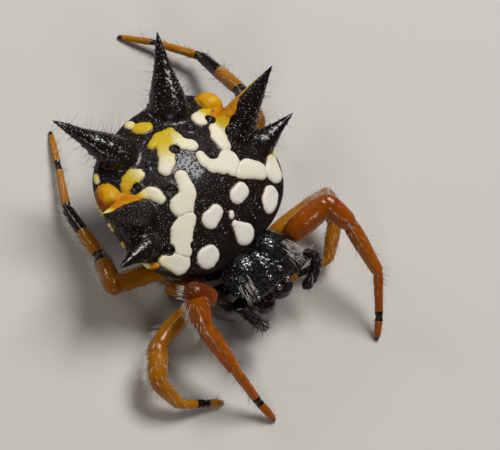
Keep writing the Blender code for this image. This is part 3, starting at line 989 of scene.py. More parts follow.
# Each mark is one or more runs of dabs, melted together. The first nineteen are on the back, from the
# middle spines to the front rim, and the small ones after them are on the rim.
MARKS: tuple[tuple[tuple[Dab, ...], ...], ...] = (
    ((Dab(0.8, 4.21, 0.27, 0.08), Dab(0.69, 3.84, 0.32, 0.08), Dab(0.85, 3.38, 0.36, 0.08),
      Dab(1.29, 3.1, 0.44, 0.06), Dab(1.94, 3.09, 0.61, 0.05), Dab(1.8, 2.78, 0.59, 0.05)),),
    ((Dab(2.0, 2.33, 0.46, 0.08), Dab(2.64, 2.1, 0.57, 0.06), Dab(3.1, 1.74, 0.53, 0.05)),),
    ((Dab(3.85, 1.23, 0.61, 0.02), Dab(4.32, 1.75, 0.38, 0.1)),),
    ((Dab(-0.87, 4.05, 0.36, 0.08), Dab(-1.14, 3.4, 0.42, 0.08), Dab(-1.27, 3.16, 0.42, 0.08),
      Dab(-1.89, 2.95, 0.66, 0.06)),),
    ((Dab(-2.12, 2.3, 0.46, 0.08), Dab(-2.76, 2.04, 0.58, 0.06), Dab(-3.08, 1.7, 0.57, 0.06),
      Dab(-3.34, 1.38, 0.54, 0.05)),),
    ((Dab(-3.85, 1.12, 0.66, 0.02), Dab(-4.35, 1.65, 0.3, 0.16)),),
    ((Dab(2.44, 3.86, 0.41, 0.08), Dab(2.57, 4.34, 0.47, 0.08), Dab(2.86, 4.68, 0.46, 0.13),
      Dab(3.25, 4.83, 0.46, 0.4, 5.36), Dab(3.67, 5.0, 0.46, 0.56, 5.54)),),
    ((Dab(-2.45, 3.96, 0.28, 0.1), Dab(-2.49, 4.29, 0.35, 0.1), Dab(-2.58, 4.55, 0.32, 0.16),
      Dab(-2.85, 4.66, 0.26, 0.28), Dab(-3.13, 4.76, 0.22, 0.52)),),
    ((Dab(2.67, 5.75, 0.47, 0.1), Dab(3.18, 5.83, 0.34, 0.4), Dab(3.57, 5.78, 0.17, 0.54, 4.93)),),
    ((Dab(-2.27, 5.64, 0.33, 0.24), Dab(-2.51, 5.75, 0.42, 0.36), Dab(-2.84, 5.76, 0.38, 0.44),
      Dab(-3.15, 5.65, 0.28, 0.48), Dab(-3.42, 5.45, 0.16, 0.54)),),
    ((Dab(0.85, 6.25, 0.22, 0.42), Dab(0.1, 6.33, 0.35, 0.44), Dab(-0.58, 6.3, 0.22, 0.42)),
     (Dab(0.74, 6.1, 0.3, 0.36), Dab(0.58, 5.38, 0.37, 0.2), Dab(0.9, 4.91, 0.37, 0.08)),
     (Dab(0.03, 6.03, 0.48, 0.42), Dab(-0.46, 5.43, 0.43, 0.32), Dab(-0.79, 5.08, 0.42, 0.14),
      Dab(-1.17, 4.88, 0.37, 0.08))),
    ((Dab(0.25, 7.27, 0.32, 0.44), Dab(0.0, 7.4, 0.39, 0.46), Dab(-0.15, 7.49, 0.34, 0.46)),),
    ((Dab(-0.21, 7.95, 0.29, 0.26),),),
    ((Dab(2.78, 0.46, 0.5), Dab(2.45, 0.27, 0.52), Dab(2.23, 0.09, 0.4)),),
    ((Dab(-2.49, 0.28, 0.59), Dab(-2.29, 0.28, 0.54)),),
    ((Dab(1.32, 1.54, 0.46), Dab(0.89, 1.5, 0.45)),),
    ((Dab(-0.65, 1.59, 0.4), Dab(-1.19, 1.5, 0.49)),),
    ((Dab(0.04, -0.07, 0.64), Dab(-0.12, 0.52, 0.25)),),
    ((Dab(0.02, 1.06, 0.16), Dab(-0.08, 0.92, 0.16)),),
    ((Dab(-3.62, 7.18, 0.15, 0.34, 4.6), Dab(-3.82, 6.88, 0.14, 0.3, 4.58)),),
    ((Dab(-4.51, 6.14, 0.14, 0.28, 4.24), Dab(-4.6, 5.93, 0.13, 0.26, 4.25)),),
    ((Dab(-4.68, 5.7, 0.12, 0.28, 4.31), Dab(-4.75, 5.5, 0.11, 0.3, 4.28)),),
    ((Dab(-4.89, 4.87, 0.15, 0.14, 4.25), Dab(-4.96, 4.57, 0.14, 0.24, 4.23)),),
    ((Dab(-5.12, 3.73, 0.14, 0.14, 4.19), Dab(-5.13, 3.54, 0.12, 0.14, 4.17)),),
    ((Dab(-5.07, 2.34, 0.17, 0.14, 4.11), Dab(-4.98, 2.07, 0.19, 0.16, 4.05)),),
    ((Dab(-4.92, 1.87, 0.12, 0.84, 4.1), Dab(-4.73, 1.75, 0.16, 0.76, 4.24)),),
    ((Dab(4.7, 2.07, 0.15, 0.26, 4.45), Dab(4.73, 1.88, 0.13, 0.26, 4.31)),),
    ((Dab(4.55, 6.0, 0.17, 0.3, 4.4),),),
    ((Dab(4.98, 4.7, 0.17, 0.3, 4.22),),),
)
# The round pits of the back.
SIGILLA = (
    Dab(3.1, 5.36, 0.27), Dab(3.28, 4.09, 0.32, 0.0, 5.57), Dab(1.78, 5.66, 0.23), Dab(1.35, 3.9, 0.28),
    Dab(0.06, 5.33, 0.26), Dab(-1.72, 3.92, 0.29), Dab(-1.8, 5.6, 0.19), Dab(-2.82, 5.19, 0.23),
    Dab(-0.99, 2.2, 0.22), Dab(0.85, 2.32, 0.22), Dab(-2.67, 1.12, 0.22), Dab(-3.82, 1.85, 0.27),
    Dab(1.68, 0.52, 0.26), Dab(4.45, 2.52, 0.26), Dab(-0.67, 6.96, 0.21), Dab(1.11, 7.0, 0.23),
    Dab(0.24, 0.71, 0.2), Dab(1.12, 0.24, 0.18), Dab(-0.86, 0.72, 0.25), Dab(-1.62, 0.53, 0.17),
    Dab(-1.3, 5.6, 0.22),
)


class Feet(NamedTuple):
    """Where the spines' granules stand, each with a hair.

    Args:
        places: their places.
        normals: the skin's normals there.
        shares: how far along its spine each one is.
    """

    places: Rows
    normals: Rows
    shares: Rows


@dataclass
class Abdomen:
    """The spined shield of the back, its belly and its marks.

    Args:
        space: the spider's frame.
        belly: (share of the rim's outline, depth under the rim) of each loop of the belly.
        spines: the rear, the middle and the front pair.
        orange: how far round its middle spine each side's orange edge reaches, by the share along it.
        pit_rings: place and width in a pit's radii, and height in millimetres, of its rim, moat and button.
        granule_gap: the least distance between two granules, in millimetres.
        granule_tries: how many places are tried for each granule.
    """

    space: BodySpace
    middle_y: float = 3.65
    half_length: float = 4.3
    rear_stretch: float = 1.06
    rear_taper: float = 0.17
    half_width: float = 5.1
    squareness: float = 2.5
    rim_height: float = 4.35
    rim_slope: float = 0.07
    dome: float = 1.5
    dome_power: float = 1.65
    dome_levels: int = 22
    rim_sides: int = 96
    belly: Profile = (
        (1.0, 0.0), (1.015, 0.14), (1.016, 0.34), (0.98, 0.58), (0.91, 0.78), (0.81, 0.95), (0.66, 1.18),
        (0.47, 1.85), (0.28, 2.6), (0.15, 2.98), (0.05, 3.06),
    )
    spines: tuple[SpineForm, ...] = (
        SpineForm((2.0, 7.25, 4.9), (4.0, 10.4, 6.4), 1.12, 0.92, FLARED, 110),
        SpineForm((3.95, 4.3, 4.85), (6.5, 4.9, 7.6), 1.07, 1.05, STRAIGHT, 110),
        SpineForm((4.55, 2.78, 4.5), (6.82, 2.74, 5.22), 0.78, 0.64, FLARED, 20),
    )
    spine_levels: int = 24
    spine_sides: int = 26
    shoulder: Place = (4.25, 3.5, 4.62)
    shoulder_radii: Place = (0.75, 0.9, 0.36)
    knobs: tuple[tuple[Side, Place], ...] = (
        (Side.LEFT, (4.04, 5.98, 4.62)), (Side.RIGHT, (4.02, 5.72, 4.62)),
    )
    knob_radii: Place = (0.56, 0.64, 0.52)
    knob_lean: float = 12.0
    knob_lobe: Place = (-0.06, 0.32, -0.04)
    knob_lobe_size: float = 0.82
    voxel: float = 0.06
    relief: float = 0.14
    shoulder_width: float = 0.28
    blend: float = 0.16
    seam_width: float = 0.05
    seam_depth: float = 0.055
    rim_warmth: float = 0.55
    fillet_rounds: int = 46
    orange: tuple[tuple[Side, Profile], ...] = (
        (Side.LEFT, ((0.0, 0.34), (0.12, 0.27), (0.27, 0.25), (0.36, 0.56), (0.44, 0.78), (0.8, 0.9))),
        (Side.RIGHT, ((0.0, 0.22), (0.2, 0.23), (0.56, 0.26), (0.7, 0.2), (0.82, -0.1), (1.04, -0.6))),
    )
    pit_rings: tuple[Place, ...] = ((1.05, 0.22, 0.035), (0.7, 0.26, -0.07), (0.0, 0.4, 0.04))
    pit_reach: float = 1.3
    granule_gap: float = 0.17
    granule_tries: int = 5
    granule_radii: tuple[float, float] = (0.05, 0.085)
    granule_rise: float = 0.85
    back_hairs: int = 90
    back_hair_share: float = 0.35
    hair_lengths: tuple[float, float] = (0.7, 1.2)
    hair_widths: tuple[float, float] = (0.006, 0.009)
    hair_ceiling: float = 7.8

    def back_height(self, x: Rows, y: Rows) -> Rows:
        """Height of the back over a place."""
        length = self.half_length * np.where(y > self.middle_y, self.rear_stretch, 1.0)
        along = np.abs(y - self.middle_y) / length
        back = np.clip((y - self.middle_y) / length, 0.0, 1.0)
        across = np.abs(x) / self.half_width / (1.0 - self.rear_taper * back * (1.0 - back))
        out = (across ** self.squareness + along ** self.squareness) ** (1 / self.squareness)
        share = np.minimum(out, 1.0)
        tilt = self.rim_slope * (y - self.middle_y)
        return self.rim_height + tilt + self.dome * (1.0 - share ** self.dome_power)

    def on_back(self, dab: Dab) -> Rows:
        """The middle of a dab, on the back where it has no height of its own."""
        height = self.back_height(np.array(dab.x), np.array(dab.y)) if dab.z is None else dab.z
        return np.array([dab.x, dab.y, float(height)])

    def level(self, clay: Clay, share: float, lift: float) -> list:
        """One loop of the shell at a share of the rim's outline."""
        middle = Vector((0.0, self.middle_y, self.rim_height + lift))
        across = Vector((self.half_width * share, 0.0, 0.0))
        along = Vector((0.0, self.half_length * share, self.half_length * share * self.rim_slope))
        edges = clay.ring(middle, across, along, self.rim_sides, self.squareness)
        for vertex in {end for edge in edges for end in edge.verts}:
            rearward = max(vertex.co.y - self.middle_y, 0.0)
            taper = self.rear_taper * rearward / self.half_length
            taper *= max(1.0 - rearward / self.half_length, 0.0)
            back = rearward * (self.rear_stretch - 1.0)
            vertex.co += Vector((-vertex.co.x * taper, back, back * self.rim_slope))
        return edges

    def sculpt(self) -> Skin:
        """Builds the shell, the spines, the knobs and the ridges, and melts them together.

        Returns:
            The skin before its relief.
        """
        clay = Clay()
        quarter = math.pi / 2 / self.dome_levels
        shares = [math.sin(step * quarter) for step in range(1, self.dome_levels + 1)]
        rings = [self.level(clay, share, self.dome * (1 - share ** self.dome_power)) for share in shares]
        rings += [self.level(clay, share, -depth) for share, depth in self.belly[1:]]
        clay.loft(rings)
        for side in Side:
            for form in self.spines:
                self.spine(clay, form, side)
            clay.ball(side.place(self.shoulder), self.shoulder_radii)
        for side, (x, y, z) in self.knobs:
            lean = Matrix.Rotation(math.radians(side.value * self.knob_lean), 4, "Z")
            clay.ball(side.place((x, y + 0.06, z)), self.knob_radii, lean)
            lobe = side.place([at + step for at, step in zip((x, y, z), self.knob_lobe)])
            clay.ball(lobe, [radius * self.knob_lobe_size for radius in self.knob_radii], lean)
        skin = Skin(clay.melt(self.voxel, 3))
        self.fillet(skin)
        return skin

    def fillet(self, skin: Skin) -> None:
        """Rounds the hollow where each spine leaves the shell."""
        roots = np.zeros(len(skin.places))
        for form in self.spines:
            for side in Side:
                at, away, _ = self.spine_reach(skin.places, form, side)
                near = fade(at, 0.2, 0.1) * fade(at, -0.45, -0.35) * fade(away, 1.7, 1.4)
                roots = np.maximum(roots, near)
        skin.relax(roots, self.fillet_rounds)

    def spine(self, clay: Clay, form: SpineForm, side: Side) -> None:
        """Adds one flared spine."""
        root, tip = side.place(form.root), side.place(form.tip)
        along = tip - root
        direction = along.normalized()
        fore = Vector((0.0, 1.0, 0.0))
        fore = (fore - direction * fore.dot(direction)).normalized()
        over = direction.cross(fore)
        rings = []
        first, last = form.profile[0][0], form.profile[-1][0]
        for step in range(self.spine_levels + 1):
            at = first + (last - first) * step / self.spine_levels
            size = between(form.profile, at)
            across, upright = fore * form.along_body * size, over * form.upright * size
            rings.append(clay.ring(root + along * at, across, upright, self.spine_sides))
        clay.loft(rings)

    def mark_distance(self, places: Rows) -> tuple[Rows, Rows, Rows]:
        """How deep each place lies inside the marks, how warm the enamel is there, and where two marks meet.

        Args:
            places: the skin's points.

        Returns:
            Depth inside the nearest mark in millimetres, less than 0 outside, warmth from 0 to 1, and 1 on
            the seams.
        """
        depth, second = np.full(len(places), -9.0), np.full(len(places), -9.0)
        total, weighted = np.zeros(len(places)) + 1e-9, np.zeros(len(places))
        for mark in MARKS:
            here = np.full(len(places), -9.0)
            for run in mark:
                inside, warmth = self.one_run(places, run)
                here = np.maximum(here, inside)
                weight = np.exp(np.clip(inside, -1.5, 0.3) / 0.07)
                total += weight
                weighted += weight * warmth
            second = np.maximum(second, np.minimum(depth, here))
            depth = np.maximum(depth, here)
        seam = np.exp(-((depth - second) / self.seam_width) ** 2) * fade(second, -0.03, 0.05)
        return depth, weighted / total, seam

    def knob_depth(self, places: Rows) -> Rows:
        """Depth inside the two rim knobs."""
        depth = np.full(len(places), -1.0)
        for side, (x, y, z) in self.knobs:
            off = places - np.array([side.value * x, y + 0.15, z])
            turn = math.radians(side.value * self.knob_lean)
            across = off[:, 0] * math.cos(turn) + off[:, 1] * math.sin(turn)
            along = off[:, 1] * math.cos(turn) - off[:, 0] * math.sin(turn)
            wide, long, high = self.knob_radii
            metric = np.sqrt((across / wide) ** 2 + (along / (long * 1.12)) ** 2 + (off[:, 2] / high) ** 2)
            depth = np.maximum(depth, (1.14 - metric) * 0.5)
        return depth

    def one_run(self, places: Rows, run: Sequence[Dab]) -> tuple[Rows, Rows]:
        """Depth inside one run of dabs and its warmth at each place."""
        centres = [self.on_back(dab) for dab in run]
        steps = list(zip(centres, run))
        best = np.full(len(places), 9.0)
        warmth = np.full(len(places), run[0].warm)
        for (start, first), (end, last) in zip(steps, steps[1:] or steps):
            line = end - start
            at = np.clip((places - start) @ line / max(float(line @ line), 1e-9), 0.0, 1.0)
            wide = first.radius + (last.radius - first.radius) * at
            gap = np.linalg.norm(places - start - at[:, None] * line, axis=1) - wide
            mix = np.clip(0.5 + 0.5 * (gap - best) / self.blend, 0.0, 1.0)
            warmth = (first.warm + (last.warm - first.warm) * at) * (1 - mix) + warmth * mix
            best = gap * (1 - mix) + best * mix - self.blend * mix * (1 - mix) * 0.6
        return -best, warmth

    def spine_reach(self, places: Rows, form: SpineForm, side: Side) -> tuple:
        """Where places lie about a spine.

        Args:
            places: the places.
            form: the spine's pair.
            side: the side that it is on.

        Returns:
            The share along it, the distance from its middle line as a share of its half-width, and how far
            round to its rear edge, from -1 to 1.
        """
        mirror = np.array([side.value, 1.0, 1.0])
        root, tip = np.array(form.root) * mirror, np.array(form.tip) * mirror
        line = tip - root
        at = (places - root) @ line / (line @ line)
        off = places - root - at[:, None] * line
        wide = np.interp(at, [step for step, _ in form.profile], [size for _, size in form.profile])
        away = np.linalg.norm(off, axis=1)
        rear = np.array([0.0, 1.0, 0.0]) - line * line[1] / (line @ line)
        turned = off @ (rear / np.linalg.norm(rear)) / np.maximum(away, 1e-6)
        return at, away / (wide * form.along_body), turned

    def spine_share(self, places: Rows, start: float) -> Rows:
        """1 on the spines and 0 on the shell, easing over their roots.

        Args:
            places: the skin's points.
            start: the share along a spine where it begins.

        Returns:
            The share for each place.
        """
        share = np.zeros(len(places))
        for form in self.spines:
            for side in Side:
                at, away, _ = self.spine_reach(places, form, side)
                share = np.maximum(share, fade(away, 1.35, 1.05) * fade(at, start, start + 0.18))
        return share

    def rear_edges(self, places: Rows) -> tuple[Rows, Rows]:
        """Depth inside the orange rear edges of the middle spines, and their warmth, paler at the tips."""
        depth, warmth = np.full(len(places), -1.0), np.full(len(places), 0.74)
        for side, border in self.orange:
            at, away, turned = self.spine_reach(places, self.spines[1], side)
            shares, limits = zip(*border)
            edge = np.minimum((turned - np.interp(at, shares, limits)) * 0.9, (shares[-1] - at) * 1.5)
            edge = np.minimum(edge, (at + 0.03) * 3.0)
            root, tip = self.spines[1].root, self.spines[1].tip
            edge = np.minimum(edge, (places[:, 2] - root[2] - at * (tip[2] - root[2]) + 0.3) * 1.5)
            depth = np.maximum(depth, np.where(away < 1.25, edge, -1.0))
            warmth -= 0.4 * fade(at, shares[-1] - 0.3, shares[-1] - 0.22) * (away < 2.0)
        return depth, warmth

    def sigilla_height(self, places: Rows) -> tuple[Rows, Rows]:
        """The relief of the round pits of the back.

        Args:
            places: the skin's points.

        Returns:
            Height of the relief, and how far inside a pit each place is, from 0 at its edge to pit_reach at
            its middle.
        """
        height, within = np.zeros(len(places)), np.zeros(len(places))
        for dab in SIGILLA:
            away = np.linalg.norm(places - self.on_back(dab), axis=1) / dab.radius
            for at, width, rise in self.pit_rings:
                height += np.exp(-((away - at) / width) ** 2) * rise
            within = np.maximum(within, self.pit_reach - away)
        return height, within

    def enamel(self, skin: Skin, within: Rows) -> tuple[Rows, Rows, Rows]:
        """Finds the marks, the coloured knobs with their painted shade and the orange edges on the skin.

        Args:
            skin: the abdomen's skin before its relief.
            within: how far inside a pit each point is.

        Returns:
            Depth inside them in millimetres, warmth from 0 to 1, and 1 on the seams between marks.
        """
        places, upward = skin.places, skin.normals[:, 2]
        depth, warmth, seam = self.mark_distance(places)
        ragged = ripple(places, 0.2, 5) * 0.016 + ripple(places, 0.5, 6) * 0.012
        clear_of_spines = 0.35 - self.spine_share(places, 0.08) * 0.9
        depth = np.minimum(depth + ragged, clear_of_spines)
        # The knobs go from yellow where they face up to rust where they turn down: partly their own colour,
        # partly painted shade.
        shade = 0.52 + 0.6 * fade(upward, 1.0, 0.0) + ripple(places, 0.36, 9) * 0.1
        edges, glow = self.rear_edges(places)
        glow = glow + ripple(places, 0.45, 8) * 0.08
        for form, warm in ((self.knob_depth(places) + ragged, shade), (edges + ragged, glow)):
            warmth = np.where(form > depth, np.clip(warm, 0.0, 1.0), warmth)
            depth = np.maximum(depth, form)
        depth = np.where(within > 0.05, np.minimum(depth, 0.1 - within * 0.55), depth)
        depth = np.where(upward < -0.25, -0.3, depth)
        rim = fade(depth, 0.16, 0.0) * fade(np.abs(places[:, 0]), 3.6, 4.6)
        return depth, np.maximum(warmth, rim * self.rim_warmth), seam

    def build(self, finish: Material) -> Skin:
        """Makes the abdomen's piece.

        Args:
            finish: its material.

        Returns:
            Its skin in millimetres, for the coat to grow on.
        """
        skin = self.sculpt()
        spine = self.spine_share(skin.places, -0.05)
        pit_height, within = self.sigilla_height(skin.places)
        depth, warmth, seam = self.enamel(skin, within)
        rim_level = self.rim_height + self.rim_slope * (skin.places[:, 1] - self.middle_y)
        wall = fade(rim_level - skin.places[:, 2], 0.05, 0.25)
        shoulder = np.sqrt(1.0 - fade(depth, self.shoulder_width, 0.0) ** 2)
        raised = shoulder * self.relief * (1.0 - 0.75 * spine) - seam * self.seam_depth
        wrinkles = ripple(skin.places * np.array([1.0, 0.45, 1.6]), 0.3, 7) * 0.010 * spine
        wrinkles += ripple(skin.places, 0.55, 10) * 0.022 * (warmth > 0.45) * (depth > 0.0)
        skin.swell(raised + pit_height * (1.0 - spine) + wrinkles)
        numbers = {"mark": depth, "warm": warmth, "spine": spine, "pit": within, "seam": seam, "wall": wall}
        for name, values in numbers.items():
            skin.paint(name, values)
        return settle_skin(skin, "abdomen_skin", self.space, finish, ("abdomen",))

    def feet(self, skin: Skin) -> Feet:
        """Picks the places of the spines' granules, kept apart from each other.

        Args:
            skin: the abdomen's skin.

        Returns:
            The granules' feet.
        """
        found = []
        plain = np.maximum(self.rear_edges(skin.places)[0], self.mark_distance(skin.places)[0]) < -0.1
        for number, form in enumerate(self.spines):
            for side in Side:
                at, away, _ = self.spine_reach(skin.places, form, side)
                on = (away < 1.25) & (at > -0.05) & (at < 0.97) & plain
                density = on * (0.5 + 0.9 * np.clip(at, 0.0, 1.0))
                seed = 11 + number * 2 + (side is Side.LEFT)
                places, normals = skin.scatter(form.granules * self.granule_tries, density, seed)
                kept: list[int] = []
                for index, place in enumerate(places):
                    if len(kept) == form.granules:
                        break
                    if not kept or np.linalg.norm(places[kept] - place, axis=1).min() > self.granule_gap:
                        kept.append(index)
                at, _, _ = self.spine_reach(places[kept], form, side)
                found.append((places[kept], normals[kept], at))
        return Feet(*(np.concatenate(column) for column in zip(*found)))

    def granules(self, feet: Feet, finish: Material) -> None:
        """Makes the small black knobs of the spines, each the foot of a hair.

        Args:
            feet: where they stand.
            finish: their material.
        """
        places, normals, at = feet
        picker = np.random.default_rng(19)
        radii = picker.uniform(*self.granule_radii, len(places)) * (1.0 - 0.35 * np.clip(at, 0.0, 1.0))
        shape = bmesh.new()
        bmesh.ops.create_uvsphere(shape, u_segments=8, v_segments=6, radius=1.0)
        seed = Seed.from_shape(shape)
        out, side, over = axes_along(normals)
        bead = seed.places[None, :, :, None]
        grown = bead[:, :, 0] * side[:, None] + bead[:, :, 1] * over[:, None]
        grown = grown + bead[:, :, 2] * out[:, None] * self.granule_rise
        mesh = seed.sow("spine_granules", places[:, None] + grown * radii[:, None, None])
        knobs = Skin(mesh)
        numbers = {"mark": -0.3, "warm": 0.0, "spine": 1.3, "pit": 0.0, "wall": 0.0, "seam": 0.0}
        for name, value in numbers.items():
            knobs.paint(name, np.full(len(mesh.vertices), value))
        settle(mesh, "spine_granules", self.space, finish)

    def setae(self, skin: Skin, feet: Feet, coat: Coat) -> None:
        """Plans the fine dark hairs that stand out from the spines' granules and from the shell.

        Args:
            skin: the abdomen's skin.
            feet: where the granules stand.
            coat: the coat that they go to.
        """
        back, upward = skin.scatter(self.back_hairs, 1.0 * (skin.normals[:, 2] > 0.1), 13)
        on_shell = Feet(back, upward, np.zeros(len(back)))
        places, normals, at = (np.concatenate(column) for column in zip(feet, on_shell))
        picker = np.random.default_rng(12)
        count = len(places)
        lie = normals + picker.normal(size=(count, 3)) * 0.2
        lie /= np.linalg.norm(lie, axis=1)[:, None]
        lengths = picker.uniform(*self.hair_lengths, count) * (1.0 - 0.3 * np.clip(at, 0.0, 1.0))
        lengths[-len(back):] *= self.back_hair_share
        bends = picker.normal(size=(count, 3)) * 0.1 + np.array([0.0, 0.0, 0.16])
        climb = np.maximum(lie[:, 2] + bends[:, 2], 0.05)
        lengths = np.minimum(lengths, np.maximum(self.hair_ceiling - places[:, 2], 0.1) / climb)
        widths = picker.uniform(*self.hair_widths, count)
        spread = unwrap_round(places, (0.0, self.middle_y, 4.3), 2, (1.0, self.hair_ceiling))
        coat.plans.append(HairPlan(places - normals * ROOT_DEPTH, lie, lengths, bends, widths, spread))


# Head


@dataclass
class Head:
    """The head shield with its two humps, its eyes and its tufts.

    Args:
        space: the spider's frame.
        stations: place along the body, half-width, lowest and highest place of each loop.
        keel: places and half-widths along the low ridge of the middle.
        rear_eye: the left one of the raised rear middle pair.
        white_tufts: for each side its rear end, its number of hairs, and its shortest and longest hair.
    """

    space: BodySpace
    stations: tuple[tuple[float, float, float, float], ...] = (
        (-3.04, 1.0, 2.98, 3.36), (-2.94, 1.4, 2.86, 3.5), (-2.7, 1.8, 2.76, 3.62), (-2.4, 2.12, 2.7, 3.74),
        (-1.9, 2.36, 2.65, 3.88), (-1.3, 2.32, 2.62, 3.84), (-0.65, 1.84, 2.6, 3.38), (-0.2, 1.2, 2.58, 2.98),
        (0.15, 0.5, 2.5, 2.8), (0.78, 0.3, 2.33, 2.64),
    )
    squareness: float = 2.15
    hump: Place = (0.9, -1.3, 3.38)
    hump_radii: Place = (1.1, 1.0, 0.74)
    keel: tuple[tuple[Place, float], ...] = (
        ((0.0, -1.0, 3.5), 0.3), ((0.0, -1.6, 3.56), 0.36), ((0.0, -2.5, 3.4), 0.36),
    )
    rear_eye: Place = (0.4, -2.55, 3.7)
    eye_size: float = 1.12
    white_tufts: tuple[tuple[Side, float, int, tuple[float, float]], ...] = (
        (Side.LEFT, -1.6, 36, (0.5, 0.9)), (Side.RIGHT, -1.65, 30, (0.4, 0.66)),
    )
    tuft_length: float = 1.0
    brown_hairs: int = 90
    voxel: float = 0.045

    def build(self, finish: Material) -> Skin:
        """Makes the head shield's piece.

        Args:
            finish: its material.

        Returns:
            Its skin in millimetres.
        """
        clay = Clay()
        rings = []
        for y, half_width, low, high in self.stations:
            middle = Vector((0.0, y, (low + high) / 2))
            up = Vector((0.0, 0.0, (high - low) / 2))
            rings.append(clay.ring(middle, Vector((half_width, 0.0, 0.0)), up, 48, self.squareness))
        clay.loft(rings)
        for side in Side:
            clay.ball(side.place(self.hump), self.hump_radii)
        clay.tube([Station(Vector(place), radius) for place, radius in self.keel], 20)
        skin = Skin(clay.melt(self.voxel, 4))
        places = skin.places
        top = fade(places[:, 2], 3.3, 3.7)
        along = np.exp(-((places[:, 1] + 1.35) / 1.0) ** 2)
        across = places[:, 0]
        groove = (np.exp(-(across / 0.09) ** 2) * 0.05 - np.exp(-(across / 0.34) ** 2) * 0.08) * top * along
        skin.swell(groove + ripple(places, 0.5, 21) * 0.012 + ripple(places, 0.2, 22) * 0.009)
        return settle_skin(skin, "head_shield", self.space, finish, ("carapace",))

    def eyes(self, finish: Material) -> None:
        """Makes the eight eyes over their solids, each a polished dome."""
        for row in ("anterior_median", "posterior_median", "anterior_lateral", "posterior_lateral"):
            for word in ("left", "right"):
                node = "eye_" + row + "_" + word
                low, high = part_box(node)
                middle = ((low + high) / 2 - self.space.shift) / MM
                if row == "posterior_median":
                    middle = Side[word.upper()].place(self.rear_eye)
                radius = max(high - low) / 2 / MM * self.eye_size
                shape = bmesh.new()
                bmesh.ops.create_uvsphere(shape, u_segments=24, v_segments=16, radius=radius)
                bmesh.ops.translate(shape, vec=middle, verts=shape.verts)
                mesh = bpy.data.meshes.new(node)
                shape.to_mesh(mesh)
                shape.free()
                settle(mesh, node + "_lens", self.space, finish, (node,))

    def tufts(self, skin: Skin, pale: Coat, brown: Coat) -> None:
        """Plans the white tufts on the head's sides and the brown hairs between the eyes.

        Args:
            skin: the head's skin.
            pale: the coat of white hairs.
            brown: the coat of brown hairs.
        """
        x, y, z = skin.places.T
        for side, back, count, reach in self.white_tufts:
            out = x * side.value
            patch = (out > 1.3) * (out < 2.05) * (z > 3.25) * (y < back) * (y > back - self.tuft_length)
            places, normals = skin.scatter(count, patch * 1.0, 31)
            self.lay(places, normals, pale, reach, 33, 0.75, 0.0145)
        sides = (np.abs(x) > 1.0) * (z > 2.8) * (y < -0.6)
        places, normals = skin.scatter(self.brown_hairs, sides * 1.0, 32)
        self.lay(places, normals, brown, (0.3, 0.6), 34, 0.6)
        fringe = (z > 3.2) * (np.abs(x) < 1.3) * (y < -2.3)
        places, normals = skin.scatter(self.brown_hairs, fringe * 1.0, 35)
        self.lay(places, normals, brown, (0.2, 0.4), 36, 0.5)

    def lay(self, places: Rows, normals: Rows, coat: Coat, reach: tuple[float, float], seed: int,
            sweep: float, width: float = 0.014) -> None:
        """Plans hairs that lie forward and down over the head.

        Args:
            places: their roots.
            normals: the skin's normals there.
            coat: the coat that they go to.
            reach: shortest and longest hair.
            seed: start of the random numbers.
            sweep: how strongly they lie forward.
            width: their half-width at the root.
        """
        picker = np.random.default_rng(seed)
        count = len(places)
        forward = np.tile(np.array([0.0, -0.95, -0.25]), (count, 1))
        forward[:, 0] = np.sign(places[:, 0]) * 0.08
        lie = normals * 0.55 + forward * sweep + picker.normal(size=(count, 3)) * 0.13
        bends = np.tile(np.array([0.0, -0.15, -0.42]), (count, 1)) + picker.normal(size=(count, 3)) * 0.06
        lengths = picker.uniform(*reach, count)
        widths = picker.uniform(0.8, 1.25, count) * width
        spread = unwrap_round(places, (0.0, -1.5, 3.2), 1, (-3.1, 0.8))
        coat.plans.append(HairPlan(places - normals * ROOT_DEPTH, lie, lengths, bends, widths, spread))


# Jaws, feelers, breast and spinnerets


